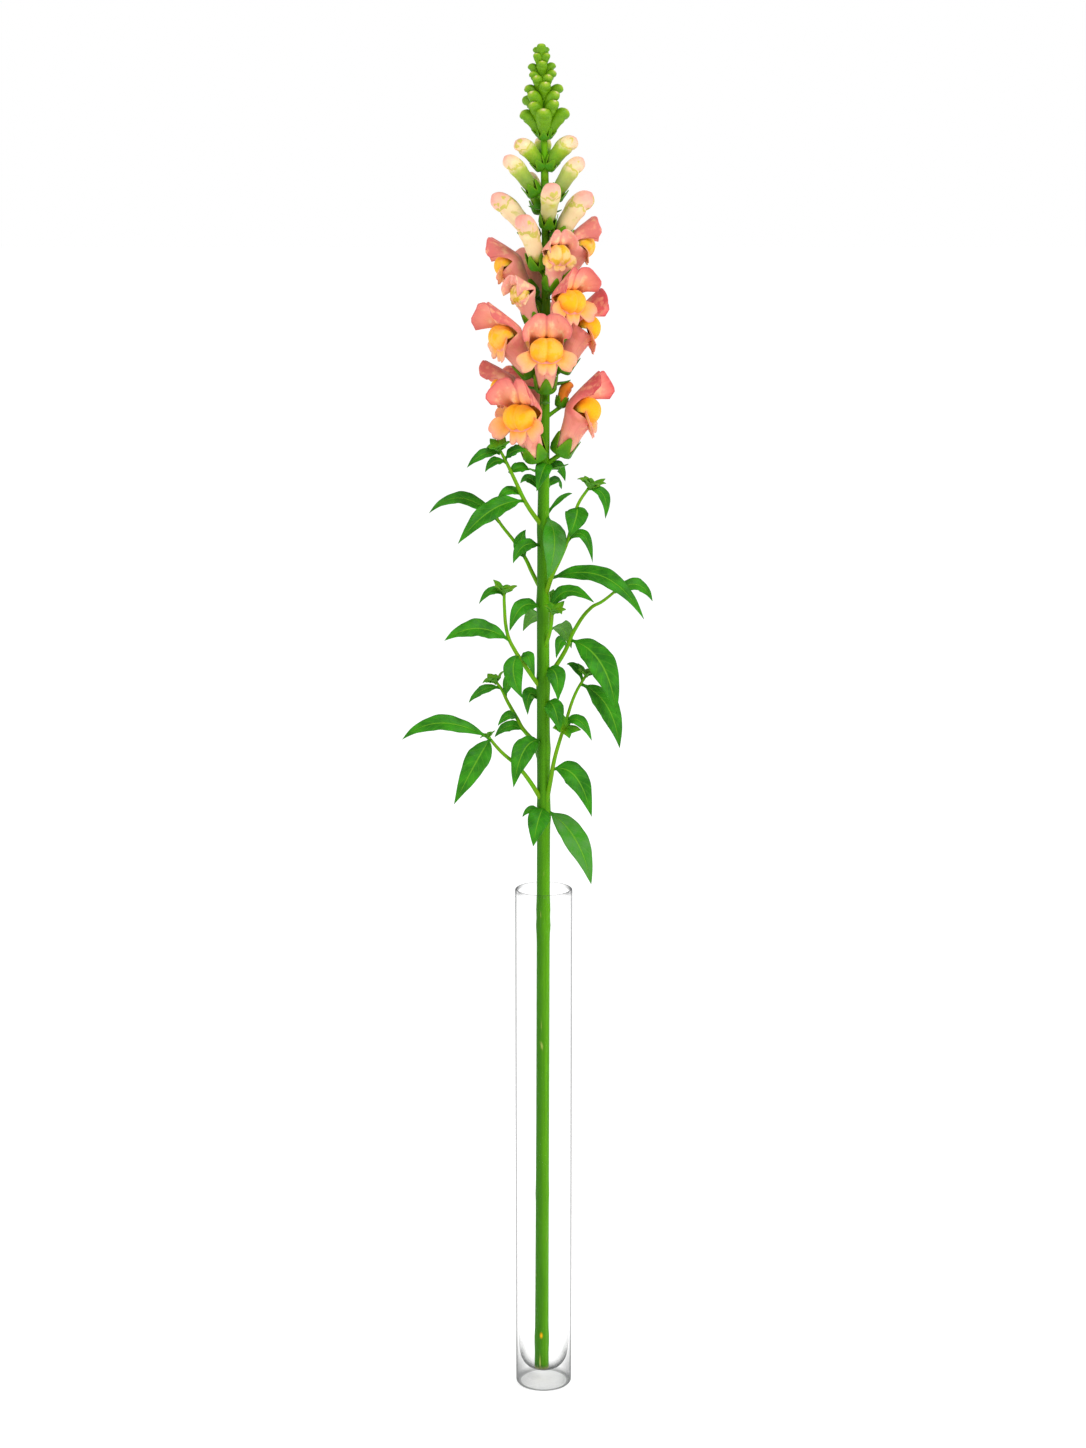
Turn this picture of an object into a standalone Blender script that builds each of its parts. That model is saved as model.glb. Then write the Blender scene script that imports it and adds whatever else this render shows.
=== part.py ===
"""A single cut snapdragon stem standing in a tall narrow clear glass vase.

Lengths in the tables are millimetres. The plant's front is -Y and its right is +X. The vase's floor is centred
on the origin and the stem runs up +Z.
"""

import math
import random

import bmesh
import bpy
from mathutils import Matrix, Vector

MM = 0.001

# Vase
VASE_HEIGHT = 302.0
VASE_OUTER_RADIUS = 16.5
VASE_INNER_RADIUS = 14.9
VASE_FLOOR = 8.0
VASE_STEPS = 24

# Blades and walls
PETAL_THICKNESS = 0.8
LEAF_THICKNESS = 0.7
SEPAL_THICKNESS = 0.65
NODE_GAP = 0.3
WELD = 0.00001
LEAF_FACING = (0.0, -0.75, 0.65)

# Main stem: x, y, z, radius
STEM = [
    (-1.2, 0.0, VASE_FLOOR + NODE_GAP, 4.0),
    (-1.0, 0.0, 60.0, 3.8),
    (-0.6, 0.0, 160.0, 3.65),
    (-0.2, 0.0, 302.0, 3.6),
    (0.0, 0.0, 355.0, 3.6),
    (-0.2, 0.0, 400.0, 3.5),
    (-0.4, 0.0, 460.0, 3.3),
    (-0.2, 0.0, 520.0, 3.1),
    (0.4, 0.0, 565.0, 2.7),
    (1.0, 0.0, 610.0, 2.4),
    (1.4, 0.0, 655.0, 2.1),
    (0.6, 0.0, 700.0, 2.0),
]
HEAD = [
    (0.6, 0.0, 700.0 + NODE_GAP, 2.0),
    (0.2, 0.0, 722.0, 1.9),
    (-0.8, 0.0, 748.0, 1.6),
    (-1.4, 0.0, 766.0, 1.1),
]

# Open florets: receptacle height, azimuth, reach from the stem's axis, lean above level, size, openness
FLORETS = [
    (550.0, -124.0, 8.0, 60.0, 1.02, 1.0),
    (572.0, 168.0, 8.0, 47.0, 0.82, 0.9),
    (596.0, -160.0, 8.0, 51.0, 1.00, 1.0),
    (588.0, -88.0, 8.0, 60.0, 0.96, 1.0),
    (598.0, 3.0, 8.0, 60.0, 1.00, 1.0),
    (615.5, -51.0, 8.0, 59.0, 0.90, 0.95),
    (643.0, -69.0, 7.8, 62.0, 0.78, 0.5),
    (645.0, 5.0, 8.0, 62.0, 0.88, 0.6),
    (637.0, 172.0, 7.5, 50.0, 0.86, 0.8),
    (552.0, -10.0, 9.0, 61.0, 1.02, 1.0),
    (556.0, 118.0, 8.0, 58.0, 0.98, 1.0),
    (595.0, 88.0, 8.0, 58.0, 0.92, 0.9),
    (630.0, 110.0, 8.0, 58.0, 0.82, 0.8),
]

# Coloured buds: receptacle height, azimuth, reach, lean, length, width
BUDS = [
    (626.0, -136.0, 9.5, 60.0, 31.0, 15.0),
    (669.0, 170.0, 6.5, 52.0, 33.0, 11.5),
    (654.0, -124.0, 7.5, 66.0, 32.0, 12.0),
    (676.0, -80.0, 6.0, 62.0, 27.0, 10.6),
    (669.0, -18.0, 6.8, 60.0, 31.0, 12.2),
    (693.0, -170.0, 5.5, 57.0, 26.0, 9.5),
    (691.0, -14.0, 5.5, 61.0, 26.0, 9.8),
    (578.0, 15.0, 9.0, 76.0, 14.0, 7.0),
    (652.0, 78.0, 7.0, 60.0, 30.0, 12.0),
    (684.0, 118.0, 6.0, 60.0, 25.0, 9.5),
]

# Green buds of the head: foot height, azimuth, reach, lean, length, width
HEAD_BUDS = [
    (707.0, -8.0, 1.6, 58.0, 24.0, 8.4),
    (707.0, -165.0, 1.6, 58.0, 22.0, 8.0),
    (710.0, 95.0, 1.6, 60.0, 19.0, 7.5),
    (723.0, -92.0, 1.6, 76.0, 17.0, 7.4),
    (725.0, -170.0, 1.4, 64.0, 16.0, 6.6),
    (724.0, -12.0, 1.4, 66.0, 18.0, 7.0),
    (728.0, 60.0, 1.4, 66.0, 14.5, 6.2),
    (734.0, 150.0, 1.2, 66.0, 13.0, 6.0),
    (735.0, -130.0, 1.2, 74.0, 13.0, 6.0),
    (735.0, -45.0, 1.2, 74.0, 13.0, 5.8),
    (742.0, -165.0, 1.1, 66.0, 10.0, 5.0),
    (741.0, -80.0, 1.4, 76.0, 11.5, 5.4),
    (741.0, -8.0, 1.1, 66.0, 11.5, 5.2),
    (743.0, 90.0, 1.1, 70.0, 10.0, 5.0),
    (749.0, -150.0, 1.0, 76.0, 9.0, 4.6),
    (749.0, -28.0, 1.0, 74.0, 10.0, 4.6),
    (755.0, -95.0, 0.9, 80.0, 8.5, 4.4),
    (756.0, 170.0, 0.8, 74.0, 7.5, 4.0),
    (756.0, 40.0, 0.8, 74.0, 7.5, 4.0),
    (762.0, -120.0, 0.5, 84.0, 11.0, 5.4),
    (763.0, -30.0, 0.6, 78.0, 8.0, 4.4),
]

# Leaves: root, middle, tip, width. Each blade's spine passes through all three points.
STEM_LEAVES = [
    ((2, 3, 480), (33, -3, 483), (56, -12, 460), 9.6),
    ((2, -1, 348), (18, -8, 333), (27, -14, 308), 12.0),
    ((0, -3, 350), (-3, -11, 345), (-6, -17, 331), 10.5),
    ((3, -1, 463), (13, -6, 475), (28, -14, 470), 7.5),
    ((2, -2, 516), (6, -17, 504), (2, -20, 484), 11.0),
    ((-2, -3, 389), (-11, -14, 386), (-17, -21, 366), 11.0),
    ((2, -2, 430), (7, -9, 428), (8, -13, 414), 9.0),
    ((2, -2, 411), (6, -9, 409), (9, -14, 396), 9.0),
]

# Small leaves that grow out of the main stem itself
STEM_LEAFLETS = [
    ((2, -2, 545), (0, -10, 544), (-4, -15, 532), 8.0),
    ((2, 1, 541), (8, 5, 544), (12, 8, 535), 6.0),
    ((2, 1, 532), (7, 8, 536), (10, 14, 530), 5.0),
    ((-2, 2, 530), (-8, 6, 537), (-13, 8, 534), 5.0),
    ((-2, -2, 500), (-11, -9, 501), (-17, -15, 492), 7.0),
    ((-2, -2, 465), (-12, -10, 467), (-19, -16, 454), 8.0),
    ((-2, 2, 411), (-8, 3, 415), (-9, -3, 404), 7.0),
    ((2, 1, 518), (10, 6, 526), (16, 10, 528), 2.6),
    ((-1, -2, 346), (-7, -6, 350), (-12, -8, 346), 4.0),
    ((1, 2, 505), (3, 12, 509), (2, 20, 500), 7.0),
    ((-1, 2, 380), (-2, 12, 384), (-4, 20, 374), 8.0),
]

# Bracts under the florets: foot height, azimuth, length, width
BRACTS = [
    (541.5, -124.0, 14.0, 5.0),
    (543.0, -8.0, 13.0, 5.5),
    (563.0, 168.0, 12.0, 4.5),
    (579.0, -88.0, 12.0, 4.5),
    (587.0, -158.0, 13.0, 5.5),
    (589.0, 3.0, 14.0, 6.0),
    (606.0, -55.0, 12.0, 4.5),
    (628.0, 172.0, 11.0, 4.5),
    (636.0, -3.0, 10.0, 4.0),
    (661.0, -24.0, 9.0, 4.0),
    (684.5, -168.0, 9.0, 3.5),
    (682.5, -18.0, 9.0, 3.5),
]

# Side shoots: path, root radius, tip radius, leaves, and rosettes as (foot, direction, leaves, length, width)
SHOOTS = [
    (
        [(-1, -1, 511), (-10, -8, 525), (-15, -12, 536), (-20, -15, 547), (-24, -17, 555)], 1.35, 0.8,
        [
            ((-24, -17, 553), (-33, -19, 553), (-42, -23, 546), 5.4),
            ((-21, -15, 548), (-27, -20, 549), (-32, -27, 544), 5.0),
            ((-21, -16, 550), (-16, -20, 555), (-10, -23, 555), 6.0),
            ((-19, -14, 542), (-13, -11, 545), (-8, -8, 543), 6.0),
            ((-11, -9, 526), (-29, -20, 522), (-47, -31, 505), 10.5),
            ((-12, -9, 529), (-19, -10, 532), (-26, -13, 527), 5.0),
        ],
        [((-24, -17, 554), (-0.2, -0.2, 1.0), 5, 8.5, 4.4)],
    ),
    (
        [(-1, 0, 474), (-7, 6, 485), (-10, 9, 491), (-16, 12, 500), (-25, 17, 511), (-28, 18, 516)], 1.3, 0.8,
        [
            ((-25, 17, 511), (-46, 22, 524), (-65, 27, 515), 7.2),
            ((-10, 9, 491), (-13, 8, 500), (-10, 8, 508), 7.0),
        ],
        [((-28, 18, 515), (-0.5, 0.1, 0.8), 3, 7.0, 3.8)],
    ),
    (
        [(-1, 0, 418), (-10, -6, 432), (-16, -10, 442), (-20, -12, 451), (-22, -10, 469), (-22, -9, 475)], 1.35, 0.8,
        [
            ((-19, -12, 448), (-37, -18, 456), (-55, -23, 450), 10.0),
            ((-14, -9, 440), (-17, -15, 431), (-12, -20, 417), 9.5),
            ((-10, -6, 432), (-9, -11, 439), (-5, -15, 428), 6.5),
            ((-22, -9, 473), (-29, -10, 476), (-36, -13, 469), 4.4),
        ],
        [((-22, -9, 474), (0.1, -0.1, 1.0), 4, 8.0, 4.2)],
    ),
    (
        [(-1, 1, 384), (-12, 8, 394), (-15, 11, 399), (-21, 15, 409), (-24, 17, 415), (-27, 18, 419)], 1.3, 0.8,
        [
            ((-25, 17, 416), (-35, 20, 414), (-43, 24, 406), 5.0),
            ((-22, 16, 411), (-20, 14, 421), (-17, 12, 428), 5.0),
            ((-15, 11, 399), (-20, 6, 402), (-26, 1, 397), 5.0),
            ((-11, 7, 393), (-20, 10, 395), (-28, 13, 388), 6.0),
        ],
        [((-27, 18, 418), (-0.4, 0.0, 0.9), 4, 8.0, 4.2)],
    ),
    (
        [(-1, -1, 354), (-9, -6, 368), (-15, -9, 376), (-24, -13, 385), (-31, -16, 394)], 1.4, 0.9,
        [
            ((-30, -16, 393), (-57, -21, 403), (-79, -23, 394), 8.6),
            ((-30, -16, 393), (-38, -25, 381), (-50, -32, 359), 11.5),
        ],
        [((-31, -16, 393), (-0.2, 0.4, 0.8), 3, 6.0, 3.0)],
    ),
    (
        [(1, -1, 472), (5, -8, 485), (9, -12, 494), (13, -14, 504), (19, -15, 525), (25, -13, 534)], 1.35, 0.8,
        [
            ((18, -15, 523), (18, -21, 519), (14, -26, 508), 11.0),
            ((13, -14, 504), (22, -16, 508), (27, -20, 493), 5.2),
            ((24, -13, 533), (33, -14, 530), (34, -16, 517), 5.5),
        ],
        [((25, -13, 533), (0.3, 0.0, 1.0), 5, 9.0, 4.6)],
    ),
    (
        [(1, 1, 423), (12, 6, 439), (17, 9, 450), (27, 13, 463), (33, 15, 466), (41, 17, 472)], 1.35, 0.8,
        [
            ((40, 17, 471), (53, 20, 475), (62, 23, 465), 7.0),
            ((15, 8, 445), (32, -3, 434), (41, -10, 406), 14.0),
            ((13, 7, 441), (10, -1, 446), (7, -6, 437), 6.0),
        ],
        [((41, 17, 471), (0.4, 0.0, 0.9), 4, 9.0, 4.4)],
    ),
    (
        [(1, -1, 350), (4, -5, 367), (6, -7, 379), (9, -7, 390), (12, -5, 399), (18, 0, 416), (24, 2, 426)], 1.35, 0.8,
        [
            ((21, 1, 421), (36, 1, 408), (43, -4, 385), 11.0),
            ((22, 2, 423), (18, 6, 430), (13, 9, 431), 4.0),
            ((12, -5, 399), (20, -9, 402), (27, -12, 391), 6.0),
            ((5, -6, 373), (18, -11, 370), (27, -16, 348), 11.5),
        ],
        [((24, 2, 425), (0.2, 0.0, 1.0), 3, 7.0, 3.8), ((11, -6, 396), (0.3, -0.8, 0.7), 3, 9.0, 4.4)],
    ),
    (
        [(1, -2, 443), (4, -8, 455), (5, -11, 464)], 1.2, 0.8,
        [],
        [((5, -11, 463), (0.3, -0.2, 1.0), 5, 8.0, 4.0)],
    ),
    (
        [(0, 1, 436), (3, 12, 452), (4, 18, 466)], 1.3, 0.8,
        [
            ((3, 12, 452), (-4, 24, 457), (-12, 34, 446), 10.0),
            ((2, 9, 448), (10, 22, 450), (16, 33, 436), 10.0),
        ],
        [((4, 18, 465), (0.0, 0.3, 1.0), 4, 9.0, 4.4)],
    ),
]

GREEN = (0.10, 0.30, 0.03, 1.0)
STEM_GREEN = (0.22, 0.42, 0.06, 1.0)
HEAD_GREEN = (0.30, 0.50, 0.08, 1.0)
SALMON = (0.85, 0.28, 0.22, 1.0)
PALATE_YELLOW = (0.95, 0.50, 0.05, 1.0)
BUD_PEACH = (0.90, 0.52, 0.30, 1.0)
GLASS = (0.90, 0.95, 0.95, 1.0)

# Floret outline, millimetres in the floret's own frame (outward, across, along the tube)
TUBE_ROWS = [
    (0.0, 0.0, 0.0, 0.0),
    (2.2, -4.4, 5.4, 4.8),
    (15.0, -5.8, 6.0, 6.0),
    (25.0, -8.2, 8.0, 8.0),
]
LIP_MIDDLE = [(-7.4, 0.0, 37.0), (-6.2, 6.0, 38.5), (-1.0, 10.6, 35.5), (4.6, 11.0, 31.0)]
LIP_END = [(-1.6, 0.0, 46.0), (0.4, 7.6, 49.5), (5.2, 13.2, 44.5), (9.4, 14.0, 36.5)]
PALATE_ROWS = [
    [(-2.4, 0.0, 28.0), (-2.7, 2.0, 27.8), (-3.4, 4.0, 26.8), (-4.0, 5.6, 25.4)],
    [(4.0, 0.0, 33.4), (4.3, 3.0, 34.0), (3.2, 6.2, 32.4), (1.2, 8.4, 29.6)],
    [(8.0, 0.0, 31.4), (8.5, 3.1, 31.8), (7.2, 6.4, 30.2), (4.0, 8.8, 27.6)],
    [(9.2, 0.0, 26.8), (9.3, 3.0, 26.8), (8.4, 6.2, 26.0), (6.0, 8.8, 24.6)],
    [(12.4, 0.0, 24.6), (12.0, 3.4, 25.0), (12.2, 7.6, 25.2), (10.4, 11.2, 26.4)],
    [(15.6, 0.0, 20.6), (13.0, 4.2, 23.6), (15.8, 10.6, 22.6), (15.6, 15.2, 26.6)],
]


def clear_scene():
    for old in list(bpy.data.objects):
        bpy.data.objects.remove(old, do_unlink=True)


def collection_named(name):
    found = bpy.data.collections.new(name)
    bpy.context.scene.collection.children.link(found)
    return found


def point(values):
    return Vector(values) * MM


def new_object(name, mesh, home):
    made = bpy.data.objects.new(name, mesh)
    home.objects.link(made)
    return made


def paint(obj, colour, roughness=0.5, transmission=0.0):
    """Gives the object its own Principled material."""
    material = bpy.data.materials.new(obj.name + "_mat")
    material.use_nodes = True
    shader = material.node_tree.nodes["Principled BSDF"]
    shader.inputs["Base Color"].default_value = colour
    shader.inputs["Roughness"].default_value = roughness
    shader.inputs["Transmission Weight"].default_value = transmission
    material.diffuse_color = colour
    obj.data.materials.clear()
    obj.data.materials.append(material)


def baked(obj):
    """Replaces the object's data with its evaluated mesh and drops the modifiers."""
    bpy.context.view_layer.update()
    graph = bpy.context.evaluated_depsgraph_get()
    mesh = bpy.data.meshes.new_from_object(obj.evaluated_get(graph))
    name, home = obj.name, obj.users_collection[0]
    bpy.data.objects.remove(obj, do_unlink=True)
    mesh.name = name
    return new_object(name, mesh, home)


def sheet(name, home, columns, rows, place, thickness, keep=None):
    """A sheet of columns by rows cells, each corner put by place(u, v), thickened with Solidify."""
    bm = bmesh.new()
    bmesh.ops.create_grid(bm, x_segments=columns, y_segments=rows, size=1.0)
    if keep:
        spare = [face for face in bm.faces if not keep(face.calc_center_median())]
        bmesh.ops.delete(bm, geom=spare, context="FACES")
    for vert in bm.verts:
        vert.co = place(vert.co.x, (vert.co.y + 1.0) / 2.0)
    bmesh.ops.remove_doubles(bm, verts=bm.verts, dist=WELD)
    bmesh.ops.triangulate(bm, faces=bm.faces)
    mesh = bpy.data.meshes.new(name)
    bm.to_mesh(mesh)
    bm.free()
    made = new_object(name, mesh, home)
    solid = made.modifiers.new("Thickness", "SOLIDIFY")
    solid.thickness = thickness * MM
    solid.offset = 0.0
    return baked(made)


def tube(name, home, points, sides):
    """A round rod through (x, y, z, radius) points, capped at both ends."""
    curve = bpy.data.curves.new(name, "CURVE")
    curve.dimensions = "3D"
    curve.bevel_depth = MM
    curve.bevel_resolution = sides // 2 - 2
    curve.use_fill_caps = True
    curve.resolution_u = 1
    spline = curve.splines.new("POLY")
    spline.points.add(len(points) - 1)
    for target, (x, y, z, radius) in zip(spline.points, points):
        target.co = (x * MM, y * MM, z * MM, 1.0)
        target.radius = radius
    made = baked(new_object(name, curve, home))
    bm = bmesh.new()
    bm.from_mesh(made.data)
    bmesh.ops.remove_doubles(bm, verts=bm.verts, dist=WELD)
    bm.to_mesh(made.data)
    bm.free()
    return made


def united(name, home, pieces, cutter=None):
    """The pieces as one body, by one Boolean union, less the cutter."""
    first, others = pieces[0], pieces[1:]
    if others:
        group = collection_named(name + "_pieces")
        for piece in others:
            piece.users_collection[0].objects.unlink(piece)
            group.objects.link(piece)
        join = first.modifiers.new("Join", "BOOLEAN")
        join.operation = "UNION"
        join.operand_type = "COLLECTION"
        join.collection = group
        join.solver = "MANIFOLD"
        first = baked(first)
        for piece in list(group.objects):
            bpy.data.objects.remove(piece, do_unlink=True)
        bpy.data.collections.remove(group)
    if cutter:
        cut = first.modifiers.new("Clear of the stem", "BOOLEAN")
        cut.operation = "DIFFERENCE"
        cut.object = cutter
        cut.solver = "MANIFOLD"
        first = baked(first)
    first.name = name
    first.data.name = name
    if first.users_collection[0] != home:
        first.users_collection[0].objects.unlink(first)
        home.objects.link(first)
    return first


def stem_place(height):
    """The axis point and radius of the main stem at a height."""
    run = STEM + HEAD[1:]
    for low, high in zip(run, run[1:]):
        if low[2] <= height <= high[2]:
            share = (height - low[2]) / (high[2] - low[2])
            return [a + (b - a) * share for a, b in zip(low, high)]
    return list(run[-1])


def floret_frame(height, azimuth, reach, lean):
    """Outward, across and along axes at a receptacle, as a matrix in metres."""
    around, up = math.radians(azimuth), math.radians(lean)
    x, y = stem_place(height)[:2]
    along = Vector((math.cos(up) * math.cos(around), math.cos(up) * math.sin(around), math.sin(up)))
    outward = Vector((math.sin(up) * math.cos(around), math.sin(up) * math.sin(around), -math.cos(up)))
    across = along.cross(outward)
    frame = Matrix((outward, across, along)).transposed().to_4x4()
    frame.translation = point((x + reach * math.cos(around), y + reach * math.sin(around), height))
    return frame


def smooth_row(row, share):
    """A point a share of the way along a row of hand-placed points."""
    spot = share * (len(row) - 1)
    low = min(int(spot), len(row) - 2)
    return Vector(row[low]).lerp(Vector(row[low + 1]), spot - low)


def corolla_place(frame, size, openness):
    """Maps a grid onto the tube and, over its back, the hooded upper lip."""
    last = len(TUBE_ROWS) - 1

    def place(u, v):
        angle = u * math.pi
        row = v * (last + 2)
        low = min(int(row), last - 1) if row <= last else last
        if row <= last:
            start, end, part = TUBE_ROWS[low], TUBE_ROWS[low + 1], row - low
            along, back, front, half = (a + (b - a) * part for a, b in zip(start, end))
            middle, depth = (front + back) / 2.0, (front - back) / 2.0
            local = Vector((middle - depth * math.cos(angle), half * math.sin(angle), along))
        else:
            share = min(abs(u) / 0.6, 1.0)
            side = math.copysign(1.0, u)
            rim = TUBE_ROWS[last]
            middle, depth = (rim[2] + rim[1]) / 2.0, (rim[2] - rim[1]) / 2.0
            foot = Vector((middle - depth * math.cos(angle), rim[3] * abs(math.sin(angle)), rim[0]))
            centre, tip = smooth_row(LIP_MIDDLE, share), smooth_row(LIP_END, share)
            part = row - last
            local = foot.lerp(centre, part) if part <= 1.0 else centre.lerp(tip, part - 1.0)
            shut = 1.0 - openness
            spread = 1.0 - 0.45 * shut * min(part, 1.0)
            local = Vector((local.x + 1.5 * shut * part, side * local.y * spread, local.z - 4.5 * shut * part))
        return frame @ (local * size * MM)

    return place


def palate_place(frame, size, openness):
    """Maps a grid onto the swollen palate and the three lobes below it."""

    def place(u, v):
        share, side = abs(u), math.copysign(1.0, u)
        spot = v * (len(PALATE_ROWS) - 1)
        low = min(int(spot), len(PALATE_ROWS) - 2)
        start, end = smooth_row(PALATE_ROWS[low], share), smooth_row(PALATE_ROWS[low + 1], share)
        local = start.lerp(end, spot - low)
        shut = 1.0 - openness
        beyond = max(spot - 3.0, 0.0) / 2.0
        local.x -= 5.0 * shut * beyond
        local.y *= side * (1.0 - 0.35 * shut)
        local.z -= 1.5 * shut
        return frame @ (local * size * MM)

    return place


def make_floret(number, home, row):
    height, azimuth, reach, lean, size, openness = row
    frame = floret_frame(height, azimuth, reach, lean)
    corolla = sheet(
        f"corolla_{number:02d}", home, 10, len(TUBE_ROWS) + 1,
        corolla_place(frame, size, openness), PETAL_THICKNESS,
        keep=lambda centre: abs(centre.x) < 0.6 or centre.y < 0.2,
    )
    paint(corolla, SALMON)
    lip = sheet(
        f"lip_{number:02d}", home, 6, len(PALATE_ROWS) - 1,
        palate_place(frame, size, openness), PETAL_THICKNESS,
    )
    paint(lip, PALATE_YELLOW)


def bud(name, home, frame, length, width, segments, rings):
    """A closed bud: narrow foot, swollen middle, hooded tip that nods outwards, and a fold across its face."""
    bm = bmesh.new()
    bmesh.ops.create_uvsphere(bm, u_segments=segments, v_segments=rings, radius=1.0)
    for vert in bm.verts:
        share = (1.0 + vert.co.z) / 2.0
        ring = math.hypot(vert.co.x, vert.co.y)
        angle = math.atan2(vert.co.y, vert.co.x)
        swell = 0.78 + 0.22 * math.sin(math.pi * min(share * 1.25, 1.0) - 0.6)
        face = max(math.cos(angle), 0.0)
        fold = 1.0 - 0.16 * face * math.exp(-((share - 0.62) / 0.09) ** 2)
        radius = 0.5 * width * ring * swell * fold
        nod = 0.30 * width * share ** 3
        vert.co = frame @ (Vector((radius * math.cos(angle) + nod, radius * math.sin(angle), length * share)) * MM)
    mesh = bpy.data.meshes.new(name)
    bm.to_mesh(mesh)
    bm.free()
    return new_object(name, mesh, home)


def calyx(name, home, frame, width):
    """A five-pointed cup that holds the foot of a floret or bud of this width."""
    wall = 0.5 * width + NODE_GAP + SEPAL_THICKNESS
    rows = [(-1.5, 0.0), (0.2, 0.98 * wall), (0.75 * width, 1.04 * wall)]
    notch = 0.6

    def place(u, v):
        spot = v * 2.0
        low = min(int(spot), 1)
        along, radius = (a + (b - a) * (spot - low) for a, b in zip(rows[low], rows[low + 1]))
        angle = u * math.pi
        pointed = math.cos(2.5 * (angle + math.pi)) ** 2
        if spot > 1.0:
            along -= (spot - 1.0) * notch * (rows[2][0] - rows[1][0]) * (1.0 - pointed)
        return frame @ (Vector((-radius * math.cos(angle), radius * math.sin(angle), along)) * MM)

    return sheet(name, home, 10, 2, place, SEPAL_THICKNESS)


def pedicel(name, home, height, azimuth, reach, radius):
    """The short stalk from the stem's middle up to a receptacle."""
    around = math.radians(azimuth)
    foot = height - 0.45 * reach - 2.5
    x, y = stem_place(foot)[:2]
    top_x, top_y = stem_place(height)[:2]
    frame_foot = (x + 0.8 * math.cos(around), y + 0.8 * math.sin(around), foot, radius)
    top = (top_x + reach * math.cos(around), top_y + reach * math.sin(around), height - 0.9, radius)
    return tube(name, home, [frame_foot, top], 6)


def leaf_place(root, middle, tip, width, facing, waves, phase):
    """Maps a grid onto a narrow oval blade with a stalk, a folded midrib and waved edges."""
    start, end = Vector(root), Vector(tip)
    control = 2.0 * Vector(middle) - (start + end) / 2.0
    face = Vector(facing).normalized()

    def place(u, v):
        spine = start * (1 - v) ** 2 + control * (2 * v * (1 - v)) + end * v ** 2
        tangent = ((control - start) * (2 * (1 - v)) + (end - control) * (2 * v)).normalized()
        side = tangent.cross(face).normalized()
        normal = side.cross(tangent)
        stalk = 0.75 * (1.0 - v) ** 2 + 0.25
        blade = 0.5 * width * math.sin(math.pi * min(max((v - 0.06) / 0.94, 0.0), 1.0) ** 0.85) ** 0.9
        half = max(blade, stalk) if v < 0.999 else 0.0
        lift = 0.16 * abs(u) * half + 0.16 * half * u * u * math.sin(2 * math.pi * waves * v + phase * u)
        return (spine + side * (u * half) + normal * lift) * MM

    return place


def leaf(name, home, root, middle, tip, width, columns, rows, facing=LEAF_FACING, waves=2.5, phase=1.0):
    place = leaf_place(root, middle, tip, width, facing, waves, phase)
    return sheet(name, home, columns, rows, place, LEAF_THICKNESS)


def rosette(name, home, foot, direction, count, length, width, seed):
    """Small leaves spread round the end of a shoot."""
    rng = random.Random(seed)
    axis = Vector(direction).normalized()
    across = axis.cross(Vector((0.3, 1.0, 0.2))).normalized()
    made = []
    for index in range(count):
        turn = Matrix.Rotation(index * math.radians(137.5) + rng.uniform(-0.3, 0.3), 3, axis)
        reach = length * rng.uniform(0.85, 1.15)
        out = turn @ across
        middle = Vector(foot) + out * (0.42 * reach) + axis * (0.42 * reach)
        tip = Vector(foot) + out * (0.92 * reach) + axis * (0.40 * reach)
        facing = axis * 0.8 - out * 0.25 + Vector((0.0, -0.2, 0.0))
        made.append(leaf(f"{name}_{index}", home, foot, middle, tip, width, 2, 2, facing, 1.5, 0.6))
    return made


def make_vase(home):
    outer, inner, top = VASE_OUTER_RADIUS, VASE_INNER_RADIUS, VASE_HEIGHT
    profile = [
        (0.0, 0.0), (outer - 1.2, 0.0), (outer - 0.3, 0.4), (outer, 1.4), (outer, top - 0.6), (outer - 0.3, top),
        (inner + 0.3, top), (inner, top - 0.6), (inner, VASE_FLOOR + 4.5), (inner - 1.2, VASE_FLOOR + 1.4),
        (inner - 4.6, VASE_FLOOR + 0.2), (0.0, VASE_FLOOR),
    ]
    mesh = bpy.data.meshes.new("vase")
    mesh.from_pydata([(r * MM, 0.0, z * MM) for r, z in profile], [(i, i + 1) for i in range(len(profile) - 1)], [])
    vase = new_object("vase", mesh, home)
    turn = vase.modifiers.new("Turn", "SCREW")
    turn.steps = VASE_STEPS
    turn.render_steps = VASE_STEPS
    turn.use_merge_vertices = True
    turn.merge_threshold = 0.0001
    turn.use_normal_calculate = True
    vase = baked(vase)
    bm = bmesh.new()
    bm.from_mesh(vase.data)
    bmesh.ops.recalc_face_normals(bm, faces=bm.faces)
    bm.to_mesh(vase.data)
    bm.free()
    paint(vase, GLASS, roughness=0.05, transmission=0.9)


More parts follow.
